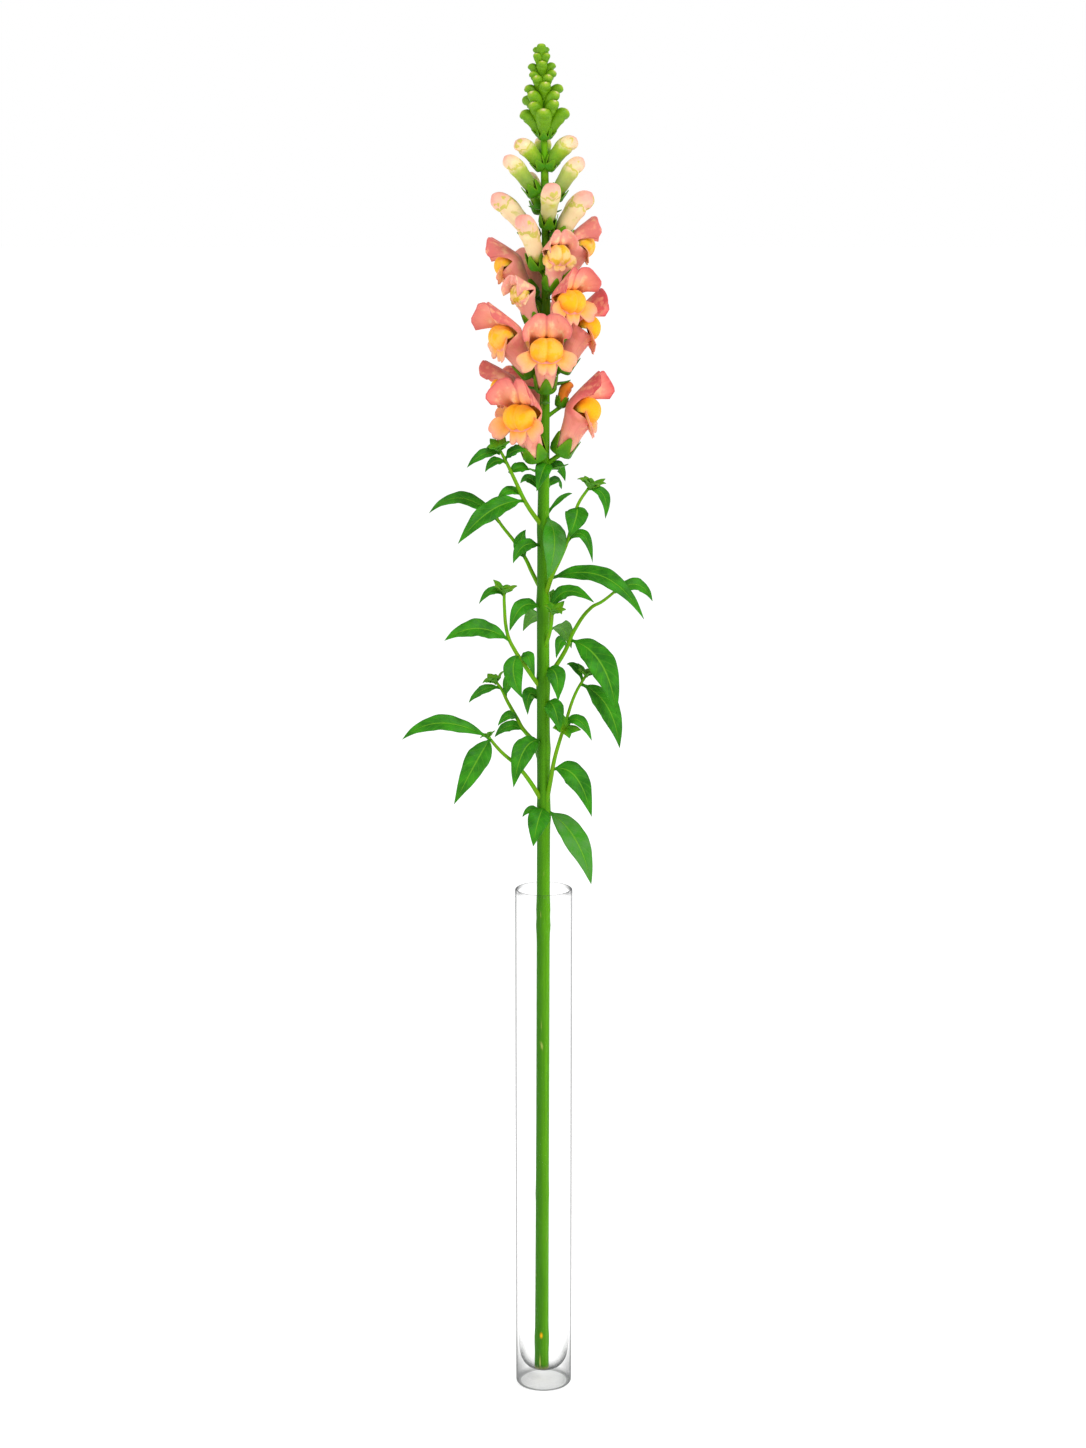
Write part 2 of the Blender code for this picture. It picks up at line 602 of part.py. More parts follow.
def make_main_stem(home):
    """The stem with its stalks, calyces, bracts and small leaves as one body."""
    pieces = [tube("stem_rod", home, STEM, 10)]
    for index, (height, azimuth, reach, lean, size, _) in enumerate(FLORETS):
        pieces.append(pedicel(f"stalk_{index}", home, height, azimuth, reach, 1.3))
        pieces.append(calyx(f"calyx_{index}", home, floret_frame(height, azimuth, reach, lean), 11.6 * size))
    for index, (height, azimuth, reach, lean, length, width) in enumerate(BUDS):
        pieces.append(pedicel(f"bud_stalk_{index}", home, height, azimuth, reach, 1.1))
        pieces.append(calyx(f"bud_calyx_{index}", home, floret_frame(height, azimuth, reach, lean), 0.72 * width))
    for index, (height, azimuth, length, width) in enumerate(BRACTS):
        around = math.radians(azimuth)
        x, y, _, radius = stem_place(height)
        out = Vector((math.cos(around), math.sin(around), 0.0))
        foot = Vector((x, y, height)) + out * (radius - 0.8)
        middle = foot + out * (0.48 * length) + Vector((0.0, 0.0, 0.06 * length))
        tip = foot + out * (0.88 * length) + Vector((0.0, 0.0, 0.22 * length))
        facing = Vector((0.0, 0.0, 0.6)) - out
        pieces.append(leaf(f"bract_{index}", home, foot, middle, tip, width, 2, 3, facing, 0.5, 0.0))
    for index, (root, middle, tip, width) in enumerate(STEM_LEAFLETS):
        facing = LEAF_FACING if tip[1] < 15 else (0.0, 0.75, 0.65)
        pieces.append(leaf(f"leaflet_{index}", home, root, middle, tip, width, 2, 3, facing))
    paint(united("main_stem", home, pieces), STEM_GREEN)


def make_head(home):
    """The green top of the spike, its buds packed closer towards the tip."""
    pieces = [tube("head_rod", home, HEAD, 8)]
    for index, (height, azimuth, reach, lean, length, width) in enumerate(HEAD_BUDS):
        frame = floret_frame(height, azimuth, reach, lean)
        pieces.append(bud(f"head_bud_{index}", home, frame, length, width, 6, 5))
    paint(united("bud_head", home, pieces), HEAD_GREEN)


def make_shoots(home, cutter):
    for number, (path, root_radius, tip_radius, leaves, rosettes) in enumerate(SHOOTS, 1):
        name = f"shoot_{number:02d}"
        last = len(path) - 1
        radii = [root_radius + (tip_radius - root_radius) * index / last for index in range(last + 1)]
        pieces = [tube(name + "_rod", home, [(*spot, radius) for spot, radius in zip(path, radii)], 6)]
        for index, (root, middle, tip, width) in enumerate(leaves):
            length = (Vector(tip) - Vector(root)).length
            columns, rows = (4, 5) if length > 24.0 else (2, 3)
            facing = LEAF_FACING if tip[1] < 28 else (0.0, 0.75, 0.65)
            pieces.append(leaf(f"{name}_leaf_{index}", home, root, middle, tip, width, columns, rows, facing))
        for index, (foot, direction, count, length, width) in enumerate(rosettes):
            seed = 10 * number + index
            pieces += rosette(f"{name}_rosette_{index}", home, foot, direction, count, length, width, seed)
        paint(united(name, home, pieces, cutter), GREEN)


def main():
    clear_scene()
    home = collection_named("snapdragon_stem")
    cutters = collection_named("cutters")
    make_vase(home)
    make_main_stem(home)
    make_head(home)
    for number, row in enumerate(FLORETS, 1):
        make_floret(number, home, row)
    for number, (height, azimuth, reach, lean, length, width) in enumerate(BUDS, 1):
        frame = floret_frame(height, azimuth, reach, lean)
        paint(bud(f"bud_{number:02d}", home, frame, length, width, 9, 7), BUD_PEACH)
    cutter = tube("stem_cutter", cutters, [(x, y, z, radius + NODE_GAP) for x, y, z, radius in STEM], 10)
    cutter.hide_render = True
    cutter.display_type = "WIRE"
    make_shoots(home, cutter)
    for number, (root, middle, tip, width) in enumerate(STEM_LEAVES, 1):
        blade = leaf(f"blade_{number}", home, root, middle, tip, width, 4, 5)
        paint(united(f"leaf_{number:02d}", home, [blade], cutter), GREEN)


main()
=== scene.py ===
"""A cut snapdragon stem in a tall narrow glass vase: the looks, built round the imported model.

Lengths in the tables are millimetres, in the model's frame: +Z up, -Y the plant's front, +X its right.
"""

import math
import random

import bpy
from bpy.props import FloatProperty, FloatVectorProperty, PointerProperty
from mathutils import Matrix, Vector


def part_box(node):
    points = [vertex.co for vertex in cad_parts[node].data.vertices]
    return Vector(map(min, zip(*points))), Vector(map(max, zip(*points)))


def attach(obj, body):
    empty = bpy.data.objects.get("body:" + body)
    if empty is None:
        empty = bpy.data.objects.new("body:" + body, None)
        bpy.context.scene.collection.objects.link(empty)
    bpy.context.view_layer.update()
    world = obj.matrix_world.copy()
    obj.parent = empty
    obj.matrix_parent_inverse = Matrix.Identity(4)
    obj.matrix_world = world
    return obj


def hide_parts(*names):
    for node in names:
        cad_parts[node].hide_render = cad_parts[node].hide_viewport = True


bl_info = {
    "name": "Snapdragon Stem",
    "version": (1, 0, 0),
    "blender": (4, 5, 0),
    "location": "View3D > Sidebar > Snapdragon",
    "description": "Models a cut snapdragon stem with its leaves, florets and buds, standing in a glass vase",
    "category": "Object",
}

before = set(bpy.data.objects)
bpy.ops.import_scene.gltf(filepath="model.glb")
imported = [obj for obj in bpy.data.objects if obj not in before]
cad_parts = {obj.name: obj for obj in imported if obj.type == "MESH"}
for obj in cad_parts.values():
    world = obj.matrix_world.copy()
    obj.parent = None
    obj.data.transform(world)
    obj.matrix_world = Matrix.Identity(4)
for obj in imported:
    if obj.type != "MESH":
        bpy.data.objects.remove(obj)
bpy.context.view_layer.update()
VASE_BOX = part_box("vase")
VASE_HEIGHT = VASE_BOX[1][2] - VASE_BOX[0][2]
VASE_RADIUS = (VASE_BOX[1][0] - VASE_BOX[0][0]) / 2.0

MM = 0.001
WELD = 0.00001

# Stage, in metres, watts, radians, and millimetres of lens. Lamps: name, spot, size, power
FLOOR_SIZE = 60.0
LAMP_AIM = (0.0, 0.0, 0.45)
LAMPS = [
    ("key", (1.1, -1.2, 1.9), 0.9, 26.0),
    ("fill", (-1.4, -0.6, 1.2), 1.2, 8.0),
]
CAMERA_SPOT = (-0.0004, -1.495, 0.697)
CAMERA_TILT = math.radians(78.7)
CAMERA_LENS = 66.9
CAMERA_SENSOR = 36.0

# Values that the materials share
WHITE = (1.0, 1.0, 1.0, 1.0)
FULL_TURN = 6.2832
GREEN_GLOW = (0.001, 0.002, 0.0005)
SHEEN = 0.08
# The healed wound near the stem's foot, with its height halved
WOUND_SPOT = (-0.0014, -0.0041, 0.0150)

# Main stem and the green top of the spike: x, y, z, radius
STEM = [
    (-1.2, 0.0, 8.3, 4.2),
    (-1.0, 0.0, 60.0, 4),
    (-0.6, 0.0, 160.0, 3.85),
    (-0.2, 0.0, 302.0, 3.8),
    (0.0, 0.0, 355.0, 3.8),
    (-0.2, 0.0, 400.0, 3.7),
    (-0.4, 0.0, 460.0, 3.5),
    (-0.2, 0.0, 520.0, 3.3),
    (0.4, 0.0, 565.0, 2.9),
    (1.0, 0.0, 610.0, 2.6),
    (1.4, 0.0, 655.0, 2.3),
    (0.6, 0.0, 700.0, 2.2),
]
HEAD = [
    (0.6, 0.0, 699.0, 2.2),
    (0.2, 0.0, 722.0, 1.9),
    (-0.8, 0.0, 748.0, 1.6),
    (-1.4, 0.0, 766.0, 1.1),
]
# Swollen leaf nodes of the stem: height, swelling
KNUCKLES = [
    (26.0, 0.35), (118.0, 0.20), (280.0, 0.45), (291.0, 0.35), (345.0, 0.5), (384.0, 0.5), (421.0, 0.5),
    (468.0, 0.5), (510.0, 0.4),
]

# Open florets: receptacle height, azimuth, reach from the stem's axis, lean above level, size, openness,
# warmth, and how far the lobe on each side of the upper lip is turned back
FLORETS = [
    (550.0, -124.0, 8.0, 60.0, 1.02, 1.0, 0.9, 0.2, 0.5),
    (572.0, 168.0, 8.0, 47.0, 0.82, 0.9, 0.75, 0.3, 0.8),
    (596.0, -160.0, 8.0, 53.0, 0.96, 1.0, 0.8, 0.0, 1.0),
    (588.0, -88.0, 8.0, 60.0, 0.96, 1.0, 0.8, 0.0, 0.5),
    (598.0, 3.0, 8.0, 60.0, 1.00, 1.0, 1.0, 0.7, 0.0),
    (615.5, -51.0, 8.0, 59.0, 0.90, 0.95, 0.9, 0.1, 0.2),
    (643.0, -69.0, 7.8, 62.0, 0.78, 0.5, 0.35, 0.0, 0.3),
    (645.0, 5.0, 8.0, 62.0, 0.88, 0.6, 0.65, 0.5, 0.0),
    (637.0, 172.0, 7.5, 53.0, 0.84, 0.8, 0.75, 0.0, 0.7),
    (552.0, -10.0, 9.0, 61.0, 1.02, 1.0, 1.0, 1.0, 0.0),
    (556.0, 118.0, 8.0, 58.0, 0.98, 1.0, 0.9, 0.2, 0.4),
    (595.0, 88.0, 8.0, 58.0, 0.92, 0.9, 0.7, 0.4, 0.1),
    (630.0, 110.0, 8.0, 58.0, 0.82, 0.8, 0.4, 0.3, 0.3),
]

# The bud that is half open, with the columns of a floret
HALF_OPEN = (624.0, -136.0, 9.0, 60.0, 0.72, 0.15, 0.12, 0.0, 0.0)

# Closed buds, from the second on: receptacle height, azimuth, reach, lean, length, width, ripeness
BUDS = [
    (669.0, 170.0, 6.5, 52.0, 33.0, 11.5, 0.75),
    (654.0, -124.0, 7.5, 66.0, 32.0, 12.0, 0.7),
    (676.0, -80.0, 6.0, 62.0, 27.0, 10.6, 0.55),
    (669.0, -18.0, 6.8, 60.0, 31.0, 12.2, 0.7),
    (693.0, -170.0, 5.5, 57.0, 26.0, 9.5, 0.4),
    (691.0, -14.0, 5.5, 61.0, 26.0, 9.8, 0.45),
    (578.0, 15.0, 9.0, 76.0, 14.0, 7.0, 2.0),
    (652.0, 78.0, 7.0, 60.0, 30.0, 12.0, 0.7),
    (684.0, 118.0, 6.0, 60.0, 25.0, 9.5, 0.4),
]

# Buds of the head: foot height, azimuth, reach, lean, length, width, ripeness
HEAD_BUDS = [
    (707.0, -8.0, 1.6, 54.0, 22.1, 10.1, 0.2),
    (707.0, -165.0, 1.6, 54.0, 20.2, 9.6, 0.2),
    (710.0, 95.0, 1.6, 56.0, 17.5, 9.0, 0.2),
    (723.0, -92.0, 1.6, 69.0, 17.0, 8.7, 0.0),
    (725.0, -170.0, 1.4, 57.0, 16.0, 7.8, 0.0),
    (724.0, -12.0, 1.4, 59.0, 18.0, 8.3, 0.0),
    (728.0, 60.0, 1.4, 59.0, 14.5, 7.3, 0.0),
    (734.0, 150.0, 1.2, 54.0, 14.9, 7.3, 0.0),
    (735.0, -130.0, 1.2, 62.0, 14.9, 7.3, 0.0),
    (735.0, -45.0, 1.2, 62.0, 14.9, 7.1, 0.0),
    (742.0, -165.0, 1.1, 54.0, 11.5, 6.1, 0.0),
    (741.0, -80.0, 1.4, 64.0, 13.2, 6.6, 0.0),
    (741.0, -8.0, 1.1, 54.0, 13.2, 6.3, 0.0),
    (743.0, 90.0, 1.1, 58.0, 11.5, 6.1, 0.0),
    (749.0, -150.0, 1.0, 66.0, 10.1, 5.5, 0.0),
    (749.0, -28.0, 1.0, 64.0, 11.2, 5.5, 0.0),
    (729.0, -128.0, 1.5, 64.0, 15.0, 7.2, 0.0),
    (729.5, -52.0, 1.5, 64.0, 15.5, 7.2, 0.0),
    (745.0, -118.0, 1.2, 68.0, 12.0, 6.0, 0.0),
    (745.5, -62.0, 1.2, 68.0, 12.0, 6.0, 0.0),
    (753.0, -88.0, 1.1, 76.0, 11.0, 5.4, 0.0),
    (754.0, 178.0, 1.0, 64.0, 9.5, 5.2, 0.0),
    (754.5, 2.0, 1.0, 64.0, 9.5, 5.2, 0.0),
    (755.0, 90.0, 0.9, 66.0, 9.0, 5.0, 0.0),
    (758.5, -130.0, 0.8, 76.0, 9.5, 5.0, 0.0),
    (758.5, -48.0, 0.8, 76.0, 9.5, 5.0, 0.0),
    (762.2, -90.0, 0.6, 84.0, 10.5, 5.2, 0.0),
    (762.2, 160.0, 0.5, 80.0, 9.0, 4.6, 0.0),
    (762.2, 30.0, 0.5, 80.0, 9.0, 4.6, 0.0),
]

# Leaves: root, middle, tip, width. Each blade's spine passes through all three points.
STEM_LEAVES = [
    ((2, 3, 480), (33, -3, 483), (56, -12, 460), 9.6),
    ((2, -1, 348), (18, -8, 333), (27, -14, 308), 12.0),
    ((0, -3, 350), (-3, -11, 345), (-6, -17, 331), 10.5),
    ((3, -1, 463), (13, -6, 475), (28, -14, 470), 7.5),
    ((2, -2, 516), (6, -17, 504), (2, -20, 484), 11.0),
    ((-2, -3, 389), (-11, -14, 386), (-17, -21, 366), 11.0),
    ((2, -2, 430), (7, -9, 428), (8, -13, 414), 9.0),
    ((2, -2, 411), (6, -9, 409), (9, -14, 396), 9.0),
]

# The older stem leaves, counted from 1, whose pale patches are a painted glossy sheen
SHEEN_PAINTED_LEAVES = (2, 5)

# Small leaves that grow out of the main stem itself
STEM_LEAFLETS = [
    ((2, -2, 545), (0, -10, 544), (-4, -15, 532), 8.0),
    ((2, 1, 541), (8, 5, 544), (12, 8, 535), 6.0),
    ((2, 1, 532), (7, 8, 536), (10, 14, 530), 5.0),
    ((-2, 2, 530), (-8, 6, 537), (-13, 8, 534), 5.0),
    ((-2, -2, 500), (-11, -9, 501), (-17, -15, 492), 7.0),
    ((-2, -2, 465), (-12, -10, 467), (-19, -16, 454), 8.0),
    ((-2, 2, 411), (-8, 3, 415), (-9, -3, 404), 7.0),
    ((2, 1, 518), (10, 6, 526), (16, 10, 528), 2.6),
    ((-1, -2, 346), (-7, -6, 350), (-12, -8, 346), 4.0),
    ((1, 2, 505), (3, 12, 509), (2, 20, 500), 7.0),
    ((-1, 2, 380), (-2, 12, 384), (-4, 20, 374), 8.0),
]

# Bracts under the florets: foot height, azimuth, length, width
BRACTS = [
    (541.5, -124.0, 14.0, 5.0),
    (543.0, -8.0, 13.0, 5.5),
    (563.0, 168.0, 12.0, 4.5),
    (579.0, -88.0, 12.0, 4.5),
    (587.0, -158.0, 13.0, 5.5),
    (589.0, 3.0, 14.0, 6.0),
    (606.0, -55.0, 12.0, 4.5),
    (628.0, 172.0, 11.0, 4.5),
    (636.0, -3.0, 10.0, 4.0),
    (661.0, -24.0, 9.0, 4.0),
    (684.5, -168.0, 9.0, 3.5),
    (682.5, -18.0, 9.0, 3.5),
]

# Side shoots: path, root radius, tip radius, leaves, and rosettes as foot, direction, count, length, width
SHOOTS = [
    (
        [(-1, -1, 511), (-10, -8, 525), (-15, -12, 536), (-20, -15, 547), (-24, -17, 555)],
        1.35, 0.8,
        [
            ((-24, -17, 553), (-33, -19, 553), (-42, -23, 546), 5.4),
            ((-21, -15, 548), (-27, -20, 549), (-32, -27, 544), 5.0),
            ((-21, -16, 550), (-16, -20, 555), (-10, -23, 555), 6.0),
            ((-19, -14, 542), (-13, -11, 545), (-8, -8, 543), 6.0),
            ((-11, -9, 526), (-29, -20, 522), (-47, -31, 505), 10.5),
            ((-12, -9, 529), (-19, -10, 532), (-26, -13, 527), 5.0),
        ],
        [((-24, -17, 554), (-0.2, -0.2, 1.0), 8, 8.5, 4.4)],
    ),
    (
        [(-1, 0, 474), (-7, 6, 485), (-10, 9, 491), (-16, 12, 500), (-25, 17, 511), (-28, 18, 516)],
        1.3, 0.8,
        [
            ((-25, 17, 511), (-46, 22, 524), (-65, 27, 515), 7.2),
            ((-10, 9, 491), (-13, 8, 500), (-10, 8, 508), 7.0),
        ],
        [((-28, 18, 515), (-0.5, 0.1, 0.8), 6, 7.0, 3.8)],
    ),
    (
        [(-1, 0, 418), (-10, -6, 432), (-16, -10, 442), (-20, -12, 451), (-22, -10, 469), (-22, -9, 475)],
        1.35, 0.8,
        [
            ((-19, -12, 448), (-37, -18, 456), (-55, -23, 450), 10.0),
            ((-14, -9, 440), (-17, -15, 431), (-12, -20, 417), 9.5),
            ((-10, -6, 432), (-9, -11, 439), (-5, -15, 428), 6.5),
            ((-22, -9, 473), (-29, -10, 476), (-36, -13, 469), 4.4),
        ],
        [((-22, -9, 474), (0.1, -0.1, 1.0), 7, 8.0, 4.2)],
    ),
    (
        [(-1, 1, 384), (-12, 8, 394), (-15, 11, 399), (-21, 15, 409), (-24, 17, 415), (-27, 18, 419)],
        1.3, 0.8,
        [
            ((-25, 17, 416), (-35, 20, 414), (-43, 24, 406), 5.0),
            ((-22, 16, 411), (-20, 14, 421), (-17, 12, 428), 5.0),
            ((-15, 11, 399), (-20, 6, 402), (-26, 1, 397), 5.0),
            ((-11, 7, 393), (-20, 10, 395), (-28, 13, 388), 6.0),
        ],
        [((-27, 18, 418), (-0.4, 0.0, 0.9), 7, 8.0, 4.2)],
    ),
    (
        [(-1, -1, 354), (-9, -6, 368), (-15, -9, 376), (-24, -13, 385), (-31, -16, 394)],
        1.4, 0.9,
        [
            ((-30, -16, 393), (-57, -21, 403), (-79, -23, 394), 8.6),
            ((-30, -16, 393), (-38, -25, 381), (-50, -32, 359), 11.5),
        ],
        [((-31, -16, 393), (-0.2, 0.4, 0.8), 6, 6.0, 3.0)],
    ),
    (
        [(1, -1, 472), (5, -8, 485), (9, -12, 494), (13, -14, 504), (19, -15, 525), (25, -13, 534)],
        1.35, 0.8,
        [
            ((18, -15, 523), (18, -21, 519), (14, -26, 508), 11.0),
            ((13, -14, 504), (22, -16, 508), (27, -20, 493), 5.2),
            ((24, -13, 533), (33, -14, 530), (34, -16, 517), 5.5),
        ],
        [((25, -13, 533), (0.3, 0.0, 1.0), 8, 9.0, 4.6)],
    ),
    (
        [(1, 1, 423), (12, 6, 439), (17, 9, 450), (27, 13, 463), (33, 15, 466), (41, 17, 472)],
        1.35, 0.8,
        [
            ((40, 17, 471), (53, 20, 475), (62, 23, 465), 7.0),
            ((15, 8, 445), (32, -3, 434), (41, -10, 406), 14.0),
            ((13, 7, 441), (10, -1, 446), (7, -6, 437), 6.0),
        ],
        [((41, 17, 471), (0.4, 0.0, 0.9), 7, 9.0, 4.4)],
    ),
    (
        [(1, -1, 350), (4, -5, 367), (6, -7, 379), (9, -7, 390), (12, -5, 399), (18, 0, 416), (24, 2, 426)],
        1.35, 0.8,
        [
            ((21, 1, 421), (36, 1, 408), (43, -4, 385), 11.0),
            ((22, 2, 423), (18, 6, 430), (13, 9, 431), 4.0),
            ((12, -5, 399), (20, -9, 402), (27, -12, 391), 6.0),
            ((5, -6, 373), (18, -11, 370), (27, -16, 348), 11.5),
        ],
        [((24, 2, 425), (0.2, 0.0, 1.0), 6, 7.0, 3.8), ((11, -6, 396), (0.3, -0.8, 0.7), 6, 9.0, 4.4)],
    ),
    (
        [(1, -2, 443), (4, -8, 455), (5, -11, 464)],
        1.2, 0.8,
        [],
        [((5, -11, 463), (0.3, -0.2, 1.0), 8, 8.0, 4.0)],
    ),
    (
        [(0, 1, 436), (3, 12, 452), (4, 18, 466)],
        1.3, 0.8,
        [
            ((3, 12, 452), (-4, 24, 457), (-12, 34, 446), 10.0),
            ((2, 9, 448), (10, 22, 450), (16, 33, 436), 10.0),
        ],
        [((4, 18, 465), (0.0, 0.3, 1.0), 7, 9.0, 4.4)],
    ),
]
# How much broader each leaf is than its width in the tables
BROADER = 1.18
# A longer leaf than this gets the finest grid
LONG_LEAF = 24.0
# Waves along a leaf's edge
WAVES = 2.5
# The turn from one leaf of a rosette to the next
SPIRAL_STEP = math.radians(137.5)
LEAF_FACING = (0.0, -0.75, 0.65)
BACK_FACING = (0.0, 0.75, 0.65)

# Floret form, millimetres in the floret's own frame. Tube rows: along, back, front, half width
TUBE_ROWS = [
    (0.0, 0.0, 0.0, 0.0),
    (0.6, -2.6, 3.2, 2.8),
    (2.2, -4.4, 5.4, 4.8),
    (6.0, -5.2, 6.3, 5.6),
    (12.0, -5.8, 6.0, 5.9),
    (19.0, -7.6, 6.8, 7.3),
    (25.8, -9.4, 7.9, 9.7),
]
# Upper lip from its middle to one side: (outward, across, along)
LIP_MIDDLE = [
    (-6.8, 0.0, 36.0), (-6.6, 2.8, 36.8), (-5.4, 6.2, 37.6), (-3.6, 8.8, 36.8), (-1.6, 10.2, 34.8),
    (0.4, 10.0, 32.4),
]
LIP_END = [
    (-2.6, 0.0, 46.4), (-2.2, 2.4, 49.0), (-0.4, 6.6, 49.6), (3.0, 11.0, 47.0), (7.4, 14.0, 42.8),
    (8.6, 12.6, 37.2),
]
# Swollen palate: its middle and its half sizes, (outward, across, along)
PALATE_MIDDLE = (2.2, 0.0, 27.0)
PALATE_HALF = (6.6, 9.2, 7.2)
# The upper lip's half width and the tube's length, as shares of the grid
LIP_SPAN = 0.4
TUBE_SHARE = 0.4
# The palate's length and the middle lobe's half width, as shares of the grid
DOME_SHARE = 0.6
NOTCH = 0.375
# A bud's half width from its foot to its tip, as shares of the widest
BUD_PROFILE = (0.0, 0.52, 0.72, 0.80, 0.82, 0.86, 0.96, 1.0, 0.92, 0.66, 0.0)
# Rings between two points of a rod, and sides of the stalks' and shoots' rods
ROD_STEPS = 5
ROD_SIDES = 12
# Rings and sides of the main stem, half height of its knuckles, and sides of the vase
STEM_RINGS = 140
STEM_SIDES = 28
KNUCKLE_HALF = 4.5
VASE_SIDES = 96
# Columns and rows of the petals' grids
COROLLA_GRID = (60, 30)
PALATE_GRID = (48, 30)
# Columns and rows of a leaf's grid, from the coarsest to the finest
LEAF_GRIDS = ((6, 10), (10, 20), (14, 34))


class Wire:
    """A value socket of a material, so that shader maths reads as a Python expression."""

    def __init__(self, recipe, socket):
        self.recipe = recipe
        self.socket = socket

    def maths(self, operation, *values):
        return self.recipe.node("ShaderNodeMath", {"operation": operation}, dict(enumerate(values)))

    def __add__(self, other):
        return self.maths("ADD", self, other)

    def __radd__(self, other):
        return self.maths("ADD", other, self)

    def __sub__(self, other):
        return self.maths("SUBTRACT", self, other)

    def __rsub__(self, other):
        return self.maths("SUBTRACT", other, self)

    def __mul__(self, other):
        return self.maths("MULTIPLY", self, other)

    def __pow__(self, other):
        return self.maths("POWER", self, other)

    def __abs__(self):
        return self.maths("ABSOLUTE", self)


class Recipe:
    def __init__(self, name):
        self.material = bpy.data.materials.new(name)
        self.material.use_nodes = True
        self.tree = self.material.node_tree
        self.tree.nodes.clear()

    def node(self, kind, settings=None, sockets=None, out=0):
        """Adds a node, sets its settings, fills or links its sockets and returns one output."""
        made = self.tree.nodes.new(kind)
        for name, value in (settings or {}).items():
            if name == "stops":
                self.set_stops(made.color_ramp, value)
            else:
                setattr(made, name, value)
        for key, value in (sockets or {}).items():
            if isinstance(value, Wire):
                self.tree.links.new(value.socket, made.inputs[key])
            else:
                made.inputs[key].default_value = value
        return Wire(self, made.outputs[out])

    def set_stops(self, ramp, stops):
        while len(ramp.elements) < len(stops):
            ramp.elements.new(1.0)
        for element, (position, colour) in zip(ramp.elements, stops):
            element.position = position
            element.color = colour

    def ramp(self, value, stops):
        return self.node("ShaderNodeValToRGB", {"stops": stops}, {0: value})

    def blend(self, factor, first, second):
        """first where factor is 0, second where it is 1."""
        return self.node("ShaderNodeMix", {"data_type": "RGBA"}, {0: factor, 6: first, 7: second}, out=2)

    def eased(self, value, low, high):
        """0 below low, 1 above high and eased between them."""
        settings = {"interpolation_type": "SMOOTHSTEP"}
        return self.node("ShaderNodeMapRange", settings, {0: value, 1: low, 2: high})

    def faded(self, value, low, high):
        """1 below low, 0 above high and eased between them."""
        return 1.0 - self.eased(value, low, high)

    def place(self):
        """The Object coordinates."""
        return self.node("ShaderNodeTexCoord", out=3)

    def split(self, vector):
        return [self.node("ShaderNodeSeparateXYZ", None, {0: vector}, out=index) for index in range(3)]

    def joined(self, x, y, z=0.0):
        return self.node("ShaderNodeCombineXYZ", None, {0: x, 1: y, 2: z})

    def uv(self):
        """How far across the blade or petal, and how far along it, each from 0 to 1."""
        across, along, _ = self.split(self.node("ShaderNodeUVMap", {"uv_map": "UVMap"}))
        return across, along

    def mark(self, name):
        """A number kept on the mesh's points."""
        return self.node("ShaderNodeAttribute", {"attribute_name": name}, out=2)

    def noise(self, vector, scale, detail=2.0, roughness=0.5):
        sockets = {"Vector": vector, "Scale": scale, "Detail": detail, "Roughness": roughness}
        return self.node("ShaderNodeTexNoise", None, sockets)

    def cloud(self, scale, detail=3.0):
        """Even noise over the Object coordinates."""
        return self.noise(self.place(), scale, detail)

    def streaks(self, x, y, z):
        """Fine noise over coordinates that are stretched unevenly."""
        return self.noise(self.joined(x, y, z), 1.0, 3.0, 0.6)

    def bump(self, height, distance, strength):
        sockets = {"Height": height, "Distance": distance, "Strength": strength}
        return self.node("ShaderNodeBump", None, sockets)

    def skin(self, colour, roughness, normal, shine, glow=0.0, glow_radius=GREEN_GLOW, sheen=0.0):
        """Finishes the material as a plant's skin, which light enters by glow."""
        return self.finish({
            "Base Color": colour, "Roughness": roughness, "Normal": normal, "Specular IOR Level": shine,
            "Subsurface Weight": glow, "Subsurface Radius": glow_radius, "Sheen Weight": sheen,
            "Sheen Roughness": 0.5,
        })

    def finish(self, sockets):
        """Ends the material in one Principled shader with these sockets."""
        shader = self.node("ShaderNodeBsdfPrincipled", None, sockets)
        output = self.tree.nodes.new("ShaderNodeOutputMaterial")
        self.tree.links.new(shader.socket, output.inputs["Surface"])
        return self.material


# Finishes


